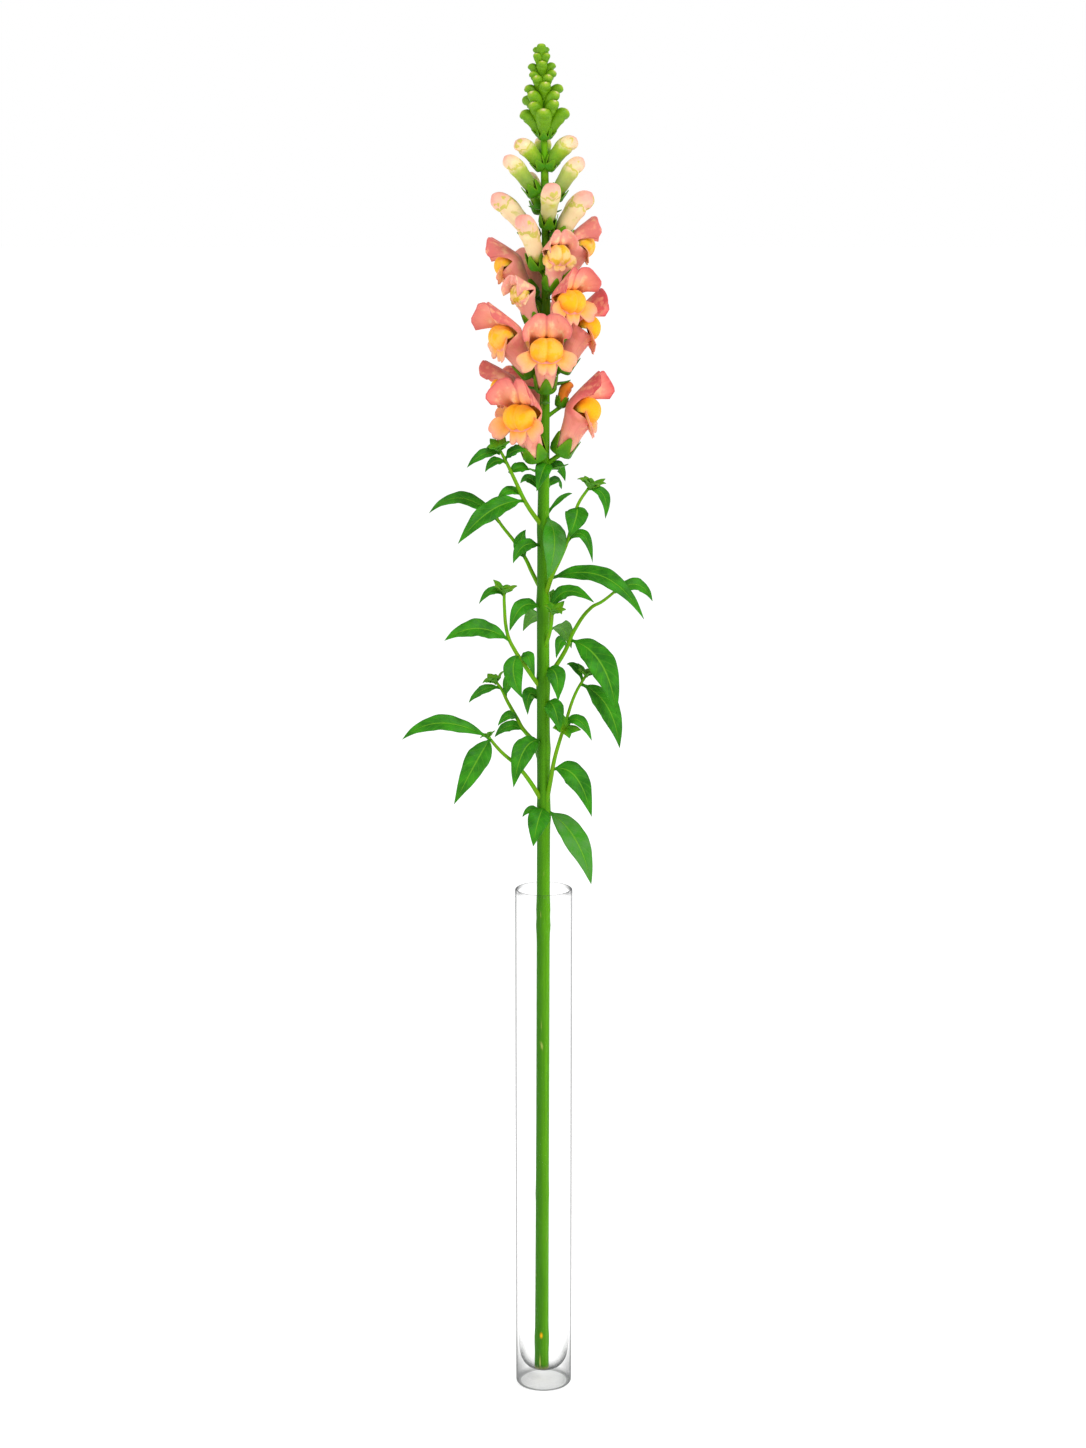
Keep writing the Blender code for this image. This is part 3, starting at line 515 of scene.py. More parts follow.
def petal_paint(colours):
    """The tube and hooded upper lip: rose outside, peach with a yellow crease inside the lip."""
    recipe = Recipe("petal")
    across, along = recipe.uv()
    inside, warmth = recipe.mark("front"), recipe.mark("warmth")
    side = abs(across * 2.0 - 1.0)
    streaks = recipe.streaks(across * 70.0, along * 5.0, warmth * 9.0)
    cloud = recipe.cloud(260.0)
    flush = recipe.cloud(130.0, 2.0)
    tube = recipe.ramp(along, [
        (0.0, colours.bud_green), (0.10, colours.cream), (0.30, colours.salmon_pale), (0.62, colours.salmon),
        (1.0, colours.rose),
    ])
    lit = recipe.blend(recipe.eased(cloud, 0.45, 0.68) * 0.75, tube, colours.peach_pale)
    flushed = recipe.blend(recipe.eased(flush, 0.50, 0.66) * 0.5, lit, colours.rose)
    ridge = recipe.faded(side, 0.0, 0.14) * 0.45 * recipe.eased(along, 0.12, 0.4)
    outer = recipe.blend(ridge, flushed, colours.rose)
    lip = recipe.ramp(along + cloud * 0.08 - 0.04, [
        (0.40, colours.yellow), (0.50, colours.peach), (0.68, colours.peach_pale),
        (0.86, colours.salmon_pale), (0.97, colours.salmon), (1.0, colours.rose),
    ])
    cheeks = recipe.eased(cloud, 0.50, 0.70) * recipe.eased(along, 0.52, 0.64)
    cheeks = cheeks * recipe.faded(along, 0.80, 0.93)
    crease = recipe.faded(side, 0.0, 0.16) * recipe.faded(along, 0.60, 0.92)
    inner = recipe.blend(crease * 0.8, recipe.blend(cheeks * 0.6, lip, colours.cream), colours.yellow)
    # Painted shade: a rose line down the middle fold of the upper lip's inner face
    fold = recipe.faded(side, 0.0, 0.045) * recipe.eased(along, 0.58, 0.68) * 0.6
    edges = recipe.eased(side, 0.33, 0.40) * recipe.eased(along, 0.45, 0.60) * 0.5
    both = recipe.blend(inside, outer, recipe.blend(fold + edges, inner, colours.rose))
    blush = recipe.blend(recipe.eased(cloud, 0.52, 0.66), colours.blush, colours.cream)
    pale = recipe.blend((1.0 - warmth) * 0.95, both, blush)
    veined = recipe.blend(recipe.eased(streaks, 0.52, 0.75) * 0.28 * warmth, pale, colours.rose)
    height = streaks * 0.6 + cloud * 0.4
    return recipe.skin(
        veined, 0.62 - streaks * 0.12, recipe.bump(height, 0.0006, 0.45), shine=0.15,
        glow=0.12, glow_radius=(0.003, 0.0012, 0.0006), sheen=SHEEN,
    )


def palate_paint(colours):
    """The swollen yellow palate and the peach lobes below it, pale salmon at their ends."""
    recipe = Recipe("palate")
    across, along = recipe.uv()
    warmth = recipe.mark("warmth")
    side = abs(across * 2.0 - 1.0)
    fuzz = recipe.cloud(1600.0)
    cloud = recipe.cloud(240.0)
    streaks = recipe.streaks(across * 40.0, along * 4.0, warmth * 7.0)
    lip = recipe.ramp(along + cloud * 0.10 - 0.05, [
        (0.0, colours.yellow_green), (0.12, colours.yellow), (0.46, colours.yellow), (0.60, colours.orange),
        (0.74, colours.apricot), (0.92, colours.peach_pale), (1.0, colours.salmon_pale),
    ])
    flank = recipe.blend(recipe.eased(side, 0.75, 1.0) * 0.6, lip, colours.apricot)
    young = recipe.blend(recipe.eased(cloud, 0.4, 0.6), colours.cream, colours.yellow_green)
    pale = recipe.blend((1.0 - warmth) * 0.8, flank, young)
    veined = recipe.blend(recipe.eased(streaks, 0.55, 0.8) * 0.3, pale, colours.salmon)
    height = fuzz * 0.6 + cloud * 0.4
    return recipe.skin(
        veined, 0.70 - cloud * 0.12, recipe.bump(height, 0.0005, 0.5), shine=0.15,
        glow=0.12, glow_radius=(0.003, 0.0015, 0.0005), sheen=SHEEN,
    )


def bud_paint(colours):
    """A coloured bud: green foot, cream middle, pink hood; a withered one is orange all over."""
    recipe = Recipe("bud_skin")
    across, along = recipe.uv()
    ripe = recipe.mark("warmth")
    cloud = recipe.cloud(300.0)
    streaks = recipe.streaks(across * 60.0, along * 4.0, ripe * 11.0)
    wander = recipe.cloud(190.0, 2.0)
    crease = recipe.faded(abs(along + wander * 0.34 - 0.87), 0.008, 0.034)
    patches = recipe.eased(wander, 0.58, 0.66) * recipe.eased(along, 0.35, 0.60)
    mottled = along + cloud * 0.20 - 0.10
    fresh = recipe.ramp(mottled, [
        (0.0, colours.bud_green), (0.36, colours.lime), (0.58, colours.lime_pale), (0.74, colours.cream),
        (1.0, colours.blush),
    ])
    grown = recipe.ramp(mottled, [
        (0.0, colours.bud_green), (0.16, colours.yellow_green), (0.32, colours.cream), (0.62, colours.cream),
        (0.84, colours.blush), (1.0, colours.salmon_pale),
    ])
    plain = recipe.blend(recipe.eased(ripe, 0.3, 0.8), fresh, grown)
    marked = recipe.blend(patches.maths("MAXIMUM", patches, crease) * 0.8, plain, colours.yellow_green)
    dried = recipe.blend(cloud, colours.orange, colours.rust)
    both = recipe.blend(recipe.eased(ripe, 1.2, 1.6), marked, dried)
    veined = recipe.blend(recipe.eased(streaks, 0.5, 0.75) * 0.12, both, colours.salmon)
    height = streaks * 0.6 + cloud * 0.4
    return recipe.skin(
        veined, 0.5 - streaks * 0.1, recipe.bump(height, 0.0006, 0.4), shine=0.2,
        glow=0.12, glow_radius=(0.003, 0.0015, 0.0008), sheen=SHEEN,
    )


def green_bud_paint(colours):
    """The tight buds of the head: fresh green with paler, yellower tips."""
    recipe = Recipe("green_bud")
    cloud = recipe.cloud(420.0)
    green = recipe.ramp(recipe.uv()[1] + cloud * 0.2 - 0.1, [
        (0.0, colours.bud_green), (0.50, colours.lime), (0.84, colours.lime), (0.95, colours.lime_pale),
        (1.0, colours.cream),
    ])
    mottled = recipe.blend(recipe.eased(cloud, 0.4, 0.7) * 0.4, green, colours.bud_green)
    return recipe.skin(
        mottled, 0.5 - cloud * 0.1, recipe.bump(cloud, 0.0005, 0.4), shine=0.2,
        glow=0.1, glow_radius=(0.002, 0.002, 0.0006),
    )


def leaf_paint(name, colours, dark, light):
    """A blade: dark and light patches, fine paler veins, a pale midrib and a paler underside."""
    recipe = Recipe(name)
    across, along = recipe.uv()
    away = abs(across * 2.0 - 1.0)
    cloud = recipe.cloud(120.0)
    fine = recipe.cloud(900.0, 2.0)
    slant = (along * 9.0 - away * 1.6 + cloud * 0.25) * FULL_TURN
    veins = recipe.eased(slant.maths("SINE", slant), 0.72, 1.0)
    midrib = recipe.faded(away, 0.02, 0.10)
    blade = recipe.blend(recipe.eased(cloud, 0.30, 0.72), dark, light)
    speckled = recipe.blend(recipe.eased(fine, 0.45, 0.75) * 0.15, blade, light)
    veined = recipe.blend(veins * 0.14, speckled, colours.leaf_vein)
    top = recipe.blend(midrib * 0.75, veined, colours.leaf_vein)
    below = recipe.blend(midrib * 0.6, colours.leaf_under, colours.leaf_vein)
    both = recipe.blend(1.0 - recipe.mark("front"), top, below)
    height = cloud * 0.3 + fine * 0.25 - veins * 0.35 - midrib * 0.6
    return recipe.skin(both, 0.44 + cloud * 0.14, recipe.bump(height, 0.0006, 0.5), shine=0.16, glow=0.04)


def stem_paint(colours):
    """Ribbed green skin: darker on the plant's left as painted shade and lighter on its right as painted
    light, with pale scars, a yellow wound and a pale cut end.
    """
    recipe = Recipe("stem_skin")
    x, y, z = recipe.split(recipe.place())
    turn = x.maths("ARCTAN2", y, x)
    ribs = recipe.noise(recipe.joined(turn * 3.4, z * 9.0), 1.0, 3.0, 0.55)
    fine = recipe.streaks(x * 900.0, y * 900.0, z * 60.0)
    # Painted shade and light: x runs the skin from the dark green on the plant's left to the light green on
    # its right
    tone = x * 150.0 + 0.5 + recipe.cloud(24.0, 2.0) * 0.5 - 0.25
    green = recipe.blend(recipe.eased(tone, 0.0, 1.0), colours.stem_dark, colours.stem_light)
    streaked = recipe.blend(recipe.eased(ribs, 0.42, 0.68) * 0.55, green, colours.stem_dark)
    higher = recipe.blend(recipe.eased(z, 0.52, 0.66), streaked, colours.bud_green)
    scars = recipe.eased(recipe.noise(recipe.joined(turn * 1.3, 0.0, z * 46.0), 1.0), 0.66, 0.74)
    scarred = recipe.blend(scars * 0.7, higher, colours.scar)
    wound = recipe.node("ShaderNodeVectorMath", {"operation": "DISTANCE"}, {
        0: recipe.joined(x, y, z * 0.5), 1: WOUND_SPOT,
    }, out=1)
    healed = recipe.blend(recipe.faded(wound, 0.0002, 0.0013) * 0.8, scarred, colours.yellow)
    cut = recipe.blend(recipe.faded(z, 0.0085, 0.0105), healed, colours.scar)
    height = ribs * 0.6 + fine * 0.25 - scars * 0.3
    return recipe.skin(cut, 0.42 + fine * 0.14, recipe.bump(height, 0.0010, 0.5), shine=0.12, glow=0.05)


def shoot_paint(colours):
    """The rods of the thin side shoots and of the head."""
    recipe = Recipe("shoot_skin")
    cloud = recipe.cloud(180.0)
    green = recipe.blend(recipe.eased(cloud, 0.35, 0.7), colours.lime, colours.stem_light)
    return recipe.skin(green, 0.45 + cloud * 0.1, recipe.bump(cloud, 0.0006, 0.4), shine=0.12)


def sepal_paint(colours):
    """The calyces: light green with a paler edge."""
    recipe = Recipe("sepal")
    cloud = recipe.cloud(320.0)
    green = recipe.ramp(recipe.uv()[1] + cloud * 0.2 - 0.1, [
        (0.0, colours.bud_green), (0.55, colours.sepal), (1.0, colours.lime),
    ])
    mottled = recipe.blend(recipe.eased(cloud, 0.4, 0.7) * 0.4, green, colours.leaf_light)
    return recipe.skin(mottled, 0.5 - cloud * 0.08, recipe.bump(cloud, 0.0005, 0.4), shine=0.15, glow=0.08)


def glass_paint(colours):
    """Clear thin glass with painted grey, standing in for refraction, where it is seen edge on, at its rim
    and in the thick, bowl-shaped floor.
    """
    recipe = Recipe("vase_glass")
    x, y, z = recipe.split(recipe.place())
    reach = (x * x + y * y) ** 0.5
    ripple = recipe.cloud(40.0, 2.0)
    edge = recipe.node("ShaderNodeLayerWeight", None, {"Blend": 0.5}, out=1)
    # Painted refraction: the grey of the walls, rim and floor stands in for darker surroundings seen through
    # the glass
    walls = recipe.eased(edge, 0.58, 0.86) * (0.12 + recipe.eased(reach, 0.0152, 0.0158) * 0.55)
    wedge = recipe.faded(z, 0.010, 0.036) * recipe.eased(edge, 0.12, 0.62) * 0.26
    lowest = recipe.faded(z, 0.004, 0.018) * 0.16 + recipe.faded(z, 0.0006, 0.0026) * 0.22
    under = recipe.faded(z, 0.0003, 0.0012) * recipe.faded(reach, 0.0125, 0.0160) * 0.13
    foot = lowest * recipe.eased(reach, 0.0132, 0.0158) + under
    inside = recipe.faded(reach, 0.0130, 0.0144) * recipe.eased(z, 0.005, 0.007)
    bowl = inside * recipe.eased(edge, 0.30, 0.80) * 0.45
    rim = recipe.eased(z, 0.2990, 0.3012) * (0.04 + recipe.eased(edge, 0.25, 0.80) * 0.60)
    cover = walls + wedge + foot + bowl + rim + 0.004 + ripple * 0.006
    return recipe.finish({
        "Base Color": colours.glass_edge, "Roughness": 0.04, "Alpha": cover, "Specular IOR Level": 0.12,
        "Normal": recipe.bump(ripple, 0.0004, 0.05),
    })


def floor_paint(colours):
    """The plain pale floor, which gives off a little white light of its own."""
    recipe = Recipe("floor_white")
    tone = recipe.blend(recipe.cloud(3.0, 2.0) * 0.1, colours.floor, (0.93, 0.93, 0.93, 1.0))
    return recipe.finish({
        "Base Color": tone, "Roughness": 0.9, "Specular IOR Level": 0.0, "Emission Color": WHITE,
        "Emission Strength": 0.45,
    })


def studio_light():
    """White all round for the eye and through the glass, and a softer white for the light on the plant."""
    world = bpy.data.worlds.new("studio")
    world.use_nodes = True
    tree = world.node_tree
    tree.nodes.clear()
    path = tree.nodes.new("ShaderNodeLightPath")
    seen = tree.nodes.new("ShaderNodeMath")
    seen.operation = "MAXIMUM"
    tree.links.new(path.outputs["Is Camera Ray"], seen.inputs[0])
    tree.links.new(path.outputs["Is Transmission Ray"], seen.inputs[1])
    soft, white = tree.nodes.new("ShaderNodeBackground"), tree.nodes.new("ShaderNodeBackground")
    for light, strength in ((soft, 0.62), (white, 1.0)):
        light.inputs["Color"].default_value = WHITE
        light.inputs["Strength"].default_value = strength
    mixed, output = tree.nodes.new("ShaderNodeMixShader"), tree.nodes.new("ShaderNodeOutputWorld")
    tree.links.new(seen.outputs[0], mixed.inputs[0])
    tree.links.new(soft.outputs[0], mixed.inputs[1])
    tree.links.new(white.outputs[0], mixed.inputs[2])
    tree.links.new(mixed.outputs[0], output.inputs[0])
    return world


# Shaping


def deselect():
    if bpy.context.mode != "OBJECT":
        bpy.ops.object.mode_set(mode="OBJECT")
    bpy.ops.object.select_all(action="DESELECT")


def select_only(made):
    deselect()
    made.select_set(True)
    bpy.context.view_layer.objects.active = made


def curve_at(rows, spot):
    """The point at a spot, counted in rows, of the smooth curve through rows of numbers."""
    low = max(0, min(int(spot), len(rows) - 2))
    t = spot - low
    b, c = rows[low], rows[low + 1]
    a = rows[low - 1] if low > 0 else [2 * p - q for p, q in zip(b, c)]
    d = rows[low + 2] if low + 2 < len(rows) else [2 * q - p for p, q in zip(b, c)]
    return [
        0.5 * (2 * q + (r - p) * t + (2 * p - 5 * q + 4 * r - s) * t * t + (3 * q - p - 3 * r + s) * t ** 3)
        for p, q, r, s in zip(a, b, c, d)
    ]


def weld(made):
    """Merges points that meet and turns every face outwards."""
    select_only(made)
    bpy.ops.object.mode_set(mode="EDIT")
    bpy.ops.mesh.select_all(action="SELECT")
    bpy.ops.mesh.remove_doubles(threshold=WELD)
    bpy.ops.mesh.normals_make_consistent(inside=False)
    bpy.ops.object.mode_set(mode="OBJECT")


def sheet(name, paint, columns, rows, place, thickness, front, keep=None, swell=None):
    """A grid laid by place(u, v) and thickened; its side with the higher front(point) is marked, swollen."""
    deselect()
    bpy.ops.mesh.primitive_grid_add(x_subdivisions=columns, y_subdivisions=rows, size=2.0, calc_uvs=True)
    made = bpy.context.object
    made.name = name
    mesh = made.data
    if keep:
        bpy.context.tool_settings.mesh_select_mode = (False, False, True)
        bpy.ops.object.mode_set(mode="EDIT")
        bpy.ops.mesh.select_all(action="DESELECT")
        bpy.ops.object.mode_set(mode="OBJECT")
        for face in mesh.polygons:
            face.select = not keep(face.center)
        bpy.ops.object.mode_set(mode="EDIT")
        bpy.ops.mesh.delete(type="FACE")
        bpy.ops.object.mode_set(mode="OBJECT")
    for vert in mesh.vertices:
        vert.co = place(vert.co.x, (vert.co.y + 1.0) / 2.0)
    bpy.ops.object.mode_set(mode="EDIT")
    bpy.ops.mesh.select_all(action="SELECT")
    bpy.ops.mesh.remove_doubles(threshold=WELD)
    bpy.ops.object.mode_set(mode="OBJECT")
    half = len(mesh.vertices)
    wall = made.modifiers.new("Wall", "SOLIDIFY")
    wall.thickness = thickness
    wall.offset = 0.0
    bpy.ops.object.modifier_apply(modifier=wall.name)
    lead = sum(front(mesh.vertices[i].co) - front(mesh.vertices[i + half].co) for i in range(half))
    first = 1.0 if lead > 0 else 0.0
    if swell:
        for vert in mesh.vertices[:half] if lead > 0 else mesh.vertices[half:]:
            vert.co += swell(vert.co)
    marks = mesh.attributes.new("front", "FLOAT", "POINT")
    marks.data.foreach_set("value", [first] * half + [1.0 - first] * (len(mesh.vertices) - half))
    finish_piece(made, paint)
    return made


def finish_piece(made, paint, angle=None):
    made.data.materials.clear()
    made.data.materials.append(paint)
    select_only(made)
    if angle:
        bpy.ops.object.shade_smooth_by_angle(angle=angle)
    else:
        bpy.ops.object.shade_smooth()


def set_mark(made, name, value):
    marks = made.data.attributes.new(name, "FLOAT", "POINT")
    marks.data.foreach_set("value", [value] * len(made.data.vertices))


def risen(name, paint, rings, sides, angle=None):
    """A round form about an upright line, extruded ring by ring: (x, y, z, radius) in millimetres."""
    deselect()
    x, y, z, radius = rings[0]
    bpy.ops.mesh.primitive_circle_add(
        vertices=sides, radius=radius * MM, fill_type="NGON", location=(0.0, 0.0, 0.0), calc_uvs=True,
    )
    made = bpy.context.object
    made.name = name
    bpy.ops.object.mode_set(mode="EDIT")
    bpy.ops.mesh.select_all(action="SELECT")
    bpy.ops.transform.translate(value=(x * MM, y * MM, z * MM))
    for low, high in zip(rings, rings[1:]):
        step = [(b - a) * MM for a, b in zip(low[:3], high[:3])]
        bpy.ops.mesh.extrude_region_move(TRANSFORM_OT_translate={"value": step})
        grow = high[3] / low[3]
        centre = [value * MM for value in high[:3]]
        bpy.ops.transform.resize(value=(grow, grow, 1.0), center_override=centre)
    bpy.ops.object.mode_set(mode="OBJECT")
    weld(made)
    finish_piece(made, paint, angle)
    return made


def rod(name, paint, points, sides):
    """A round rod along (x, y, z, radius) points, drawn as a curve and made a mesh."""
    deselect()
    bpy.ops.curve.primitive_bezier_curve_add()
    made = bpy.context.object
    made.name = name
    curve = made.data
    curve.bevel_depth = MM
    curve.bevel_resolution = sides // 2 - 2
    curve.use_fill_caps = True
    curve.resolution_u = ROD_STEPS
    spline = curve.splines[0]
    spline.bezier_points.add(len(points) - 2)
    for knot, (x, y, z, radius) in zip(spline.bezier_points, points):
        knot.co = (x * MM, y * MM, z * MM)
        knot.radius = radius
        knot.handle_left_type = "AUTO"
        knot.handle_right_type = "AUTO"
    bpy.ops.object.convert(target="MESH")
    made = bpy.context.object
    weld(made)
    finish_piece(made, paint)
    return made


def one_piece(name, pieces, slot, *nodes):
    """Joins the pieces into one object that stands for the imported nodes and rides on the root."""
    deselect()
    for piece in pieces:
        piece.select_set(True)
    bpy.context.view_layer.objects.active = pieces[0]
    if len(pieces) > 1:
        bpy.ops.object.join()
    made = pieces[0]
    made.name = name
    made.data.name = name
    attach(made, "root")
    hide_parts(*nodes)
    return made


def stem_place(height):
    """The axis point and radius of the main stem at a height."""
    run = STEM + HEAD[1:]
    for low, high in zip(run, run[1:]):
        if low[2] <= height <= high[2]:
            share = (height - low[2]) / (high[2] - low[2])
            return [a + (b - a) * share for a, b in zip(low, high)]
    return list(run[-1])


def floret_frame(height, azimuth, reach, lean):
    """Outward, across and along axes at a receptacle, as a matrix in metres."""
    around, up = math.radians(azimuth), math.radians(lean)
    x, y = stem_place(height)[:2]
    along = Vector((math.cos(up) * math.cos(around), math.cos(up) * math.sin(around), math.sin(up)))
    outward = Vector((math.sin(up) * math.cos(around), math.sin(up) * math.sin(around), -math.cos(up)))
    across = along.cross(outward)
    home = Matrix((outward, across, along)).transposed().to_4x4()
    home.translation = Vector((x + reach * math.cos(around), y + reach * math.sin(around), height)) * MM
    return home


def corolla_place(home, size, openness, turned, ruffle, phase):
    """Maps a grid onto the tube and, over its back, the hooded two-lobed upper lip."""
    columns = {}
    shut = 1.0 - openness
    last = len(TUBE_ROWS) - 1
    hinge = math.cos(LIP_SPAN * math.pi)

    def column(u):
        angle = u * math.pi
        points = []
        for along, back, front, half in TUBE_ROWS:
            middle, depth = (front + back) / 2.0, (front - back) / 2.0
            top = (along / TUBE_ROWS[-1][0]) ** 3
            slant = 2.2 * top * max((hinge - math.cos(angle)) / (hinge + 1.0), 0.0)
            square = 1.0 - 0.35 * top
            ahead = math.copysign(abs(math.cos(angle)) ** square, math.cos(angle))
            aside = math.copysign(abs(math.sin(angle)) ** square, math.sin(angle))
            points.append((middle - depth * ahead, half * aside, along - slant))
        if abs(u) <= LIP_SPAN + 0.001:
            share, side = min(abs(u) / LIP_SPAN, 1.0), math.copysign(1.0, u)
            back = turned[0] if side < 0 else turned[1]
            for part, row in ((1.0, LIP_MIDDLE), (2.0, LIP_END)):
                x, y, z = curve_at(row, share * (len(row) - 1))
                x -= 3.2 * back * part * share ** 2
                z += 0.6 * back * part * share ** 2
                spread = 1.0 - 0.45 * shut
                points.append((x + 1.5 * shut * part, side * y * spread, z - 4.5 * shut * part))
        return points

    def place(u, v):
        key = round(u, 4)
        if key not in columns:
            columns[key] = column(u)
        points = columns[key]
        if v <= TUBE_SHARE + 0.0001:
            spot = v / TUBE_SHARE * last
        else:
            spot = last + (v - TUBE_SHARE) / (1.0 - TUBE_SHARE) * 2.0
        spot = min(spot, len(points) - 1.0)
        x, y, z = curve_at(points, spot)
        reach = max((spot - last) / 2.0, 0.0)
        wave = math.sin(9.0 * u / LIP_SPAN + phase) + 0.6 * math.sin(17.0 * u / LIP_SPAN + 2.0 * phase)
        x += ruffle * reach ** 2 * wave
        z += 0.35 * ruffle * reach ** 3 * math.sin(21.0 * u / LIP_SPAN + 3.0 * phase)
        return home @ (Vector((x, y, z)) * size * MM)

    return place


def in_tube_or_lip(centre):
    """Whether a face of the flat grid belongs to the tube, or to the upper lip over its back."""
    return abs(centre.x) < LIP_SPAN or centre.y < 2 * TUBE_SHARE - 1


def cheek_swell(home, size):
    """How far the upper lip's inner face swells forward, so that its two cheeks close on the palate."""
    back = home.inverted()
    outward = home.to_3x3() @ Vector((1.0, 0.0, 0.0))

    def swell(spot):
        x, y, z = (back @ spot) / (size * MM)
        rise = math.exp(-((z - 34.0) / (4.0 if z < 34.0 else 7.0)) ** 2)
        spread = math.exp(-(y / 7.0) ** 4) * (1.0 - 0.30 * math.exp(-(y / 1.1) ** 2))
        room = min(max((1.5 - x) / 3.0, 0.0), 1.0)
        return outward * (6.2 * rise * spread * room * size * MM)

    return swell


def palate_place(home, size, openness, ruffle, phase):
    """Maps a grid onto the swollen palate and the three lobes that fan out below it."""
    shut = 1.0 - openness

    def dome_point(share, dome):
        """Over the palate from the throat (dome 0) to its foot (dome 1)."""
        turn = math.radians(200.0 - 242.0 * dome)
        tilt = math.radians(90.0) * share
        across = PALATE_HALF[1] * math.sin(tilt)
        shrink = max(math.cos(tilt), 0.0) ** 0.70
        hump = 1.0 + 0.07 * math.exp(-((across - 3.6) / 2.2) ** 2)
        hump -= 0.13 * math.exp(-(across / 0.9) ** 2) * min(max(dome - 0.25, 0.0) * 3.0, 1.0)
        x = PALATE_MIDDLE[0] + PALATE_HALF[0] * math.cos(turn) * shrink * hump
        z = PALATE_MIDDLE[2] + PALATE_HALF[2] * math.sin(turn) * shrink * hump
        return Vector((x, across, z))

    def place(u, v):
        share, side = abs(u), math.copysign(1.0, u)
        spot = dome_point(share, min(v / DOME_SHARE, 1.0))
        out = max(v - DOME_SHARE, 0.0) / (1.0 - DOME_SHARE)
        if out > 0.0:
            if share <= NOTCH:
                part = share / NOTCH
                cleft = 1.0 - 0.10 * math.exp(-(part / 0.2) ** 2)
                reach = 7.2 * math.sqrt(max(1.0 - part ** 3, 0.0)) * cleft
                heading = Vector((0.80, 0.20 * part, -0.60))
                curl = Vector((-1.2, 0.0, -1.4))
            else:
                part = (share - NOTCH) / (1.0 - NOTCH)
                reach = 9.6 * (max(1.0 - abs(2.0 * part - 1.0) ** 3.0, 0.0)) ** 0.5
                reach *= 1.0 - 0.12 * math.exp(-((part - 0.45) / 0.07) ** 2)
                heading = Vector((0.72 - 0.34 * part, 0.45 + 0.55 * part, -0.52 + 0.62 * part))
                twist = math.sin(1.7 * phase + side)
                curl = Vector((-0.8 + 1.2 * twist, 0.4, -1.8 + 2.4 * part + 0.8 * twist))
            reach *= 1.0 - 0.5 * shut
            spot += heading.normalized() * (reach * out) + curl * (out ** 2 * openness)
            wave = math.sin(13.0 * share + phase * side) + 0.5 * math.sin(29.0 * share + 2.0 * phase)
            spot.x += ruffle * out ** 2 * wave
            spot.z += 0.8 * ruffle * out ** 2 * math.cos(17.0 * share + phase)
        spot.x -= 3.0 * shut * out
        spot.y *= side * (1.0 - 0.30 * shut)
        spot.z -= 1.5 * shut
        return home @ (spot * size * MM)

    return place


def bud_form(name, paint, home, length, width, segments, rings, ripe=0.0):
    """A closed bud: narrow foot, long body, blunt nodding tip, and the fold of its closed mouth."""
    deselect()
    bpy.ops.mesh.primitive_uv_sphere_add(segments=segments, ring_count=rings, radius=1.0, calc_uvs=True)
    made = bpy.context.object
    made.name = name
    profile = [(value,) for value in BUD_PROFILE]
    for vert in made.data.vertices:
        share = math.acos(max(-1.0, min(1.0, -vert.co.z))) / math.pi
        angle = math.atan2(vert.co.y, vert.co.x)
        face = max(math.cos(angle), 0.0)
        height = share if share < 0.7 else 0.7 + 0.3 * math.sin((share - 0.7) / 0.3 * math.pi / 2.0)
        swell = max(curve_at(profile, share * (len(profile) - 1))[0], 0.0)
        mouth = (height - 0.70 + 0.05 * math.sin(3.0 * angle)) / 0.045
        fold = 1.0 - 0.22 * face ** 2 * math.exp(-mouth ** 2)
        groove = 1.0 - 0.13 * math.exp(-(math.sin(angle) / 0.16) ** 2) * max(height - 0.40, 0.0) * 1.6
        cheeks = 1.0 + 0.05 * math.cos(4.0 * angle) * math.sin(math.pi * share)
        radius = 0.5 * width * swell * fold * groove * cheeks
        nod = 0.34 * width * height ** 3
        sag = 0.10 * length * face * max(height - 0.75, 0.0) / 0.25
        ahead, aside = radius * math.cos(angle) + nod, radius * math.sin(angle)
        vert.co = home @ (Vector((ahead, aside, length * height - sag * swell)) * MM)
    finish_piece(made, paint)
    set_mark(made, "warmth", ripe)
    return made


def calyx(name, paint, home, width, sizes, spread=0.10, columns=40, rows=10):
    """Five pointed sepals round the foot of a floret or bud of this width."""
    wall = 0.5 * width + 0.5
    tall = 0.95 * width

    def place(u, v):
        angle = u * math.pi
        pointed = abs(math.cos(2.5 * (angle + math.pi))) ** 1.2
        if v < 0.4:
            share = v / 0.4
            radius, along = wall * math.sin(share * math.pi / 2.0), -1.5 + 1.9 * share * share
        else:
            share = (v - 0.4) / 0.6
            radius = wall * (1.0 + spread * share * share)
            along = 0.4 + (tall - 0.4) * share * (0.16 + 0.84 * pointed)
        return home @ (Vector((-radius * math.cos(angle), radius * math.sin(angle), along)) * MM)

    axis = home.to_3x3() @ Vector((0.0, 0.0, 1.0))
    origin = home.translation

    def away(spot):
        offset = spot - origin
        return (offset - axis * offset.dot(axis)).length

    return sheet(name, paint, columns, rows, place, sizes.sepal_thickness, away)


def pedicel(name, paint, height, azimuth, reach, radius):
    """The short stalk from the stem's middle up to a receptacle."""
    ahead, aside = math.cos(math.radians(azimuth)), math.sin(math.radians(azimuth))
    foot = height - 0.45 * reach - 2.5
    x, y = stem_place(foot)[:2]
    top_x, top_y = stem_place(height)[:2]
    points = [
        (x + 0.8 * ahead, y + 0.8 * aside, foot, radius * 1.25),
        (x + 0.55 * reach * ahead, y + 0.55 * reach * aside, height - 0.42 * reach, radius),
        (top_x + reach * ahead, top_y + reach * aside, height - 0.9, radius * 1.1),
    ]
    return rod(name, paint, points, ROD_SIDES)


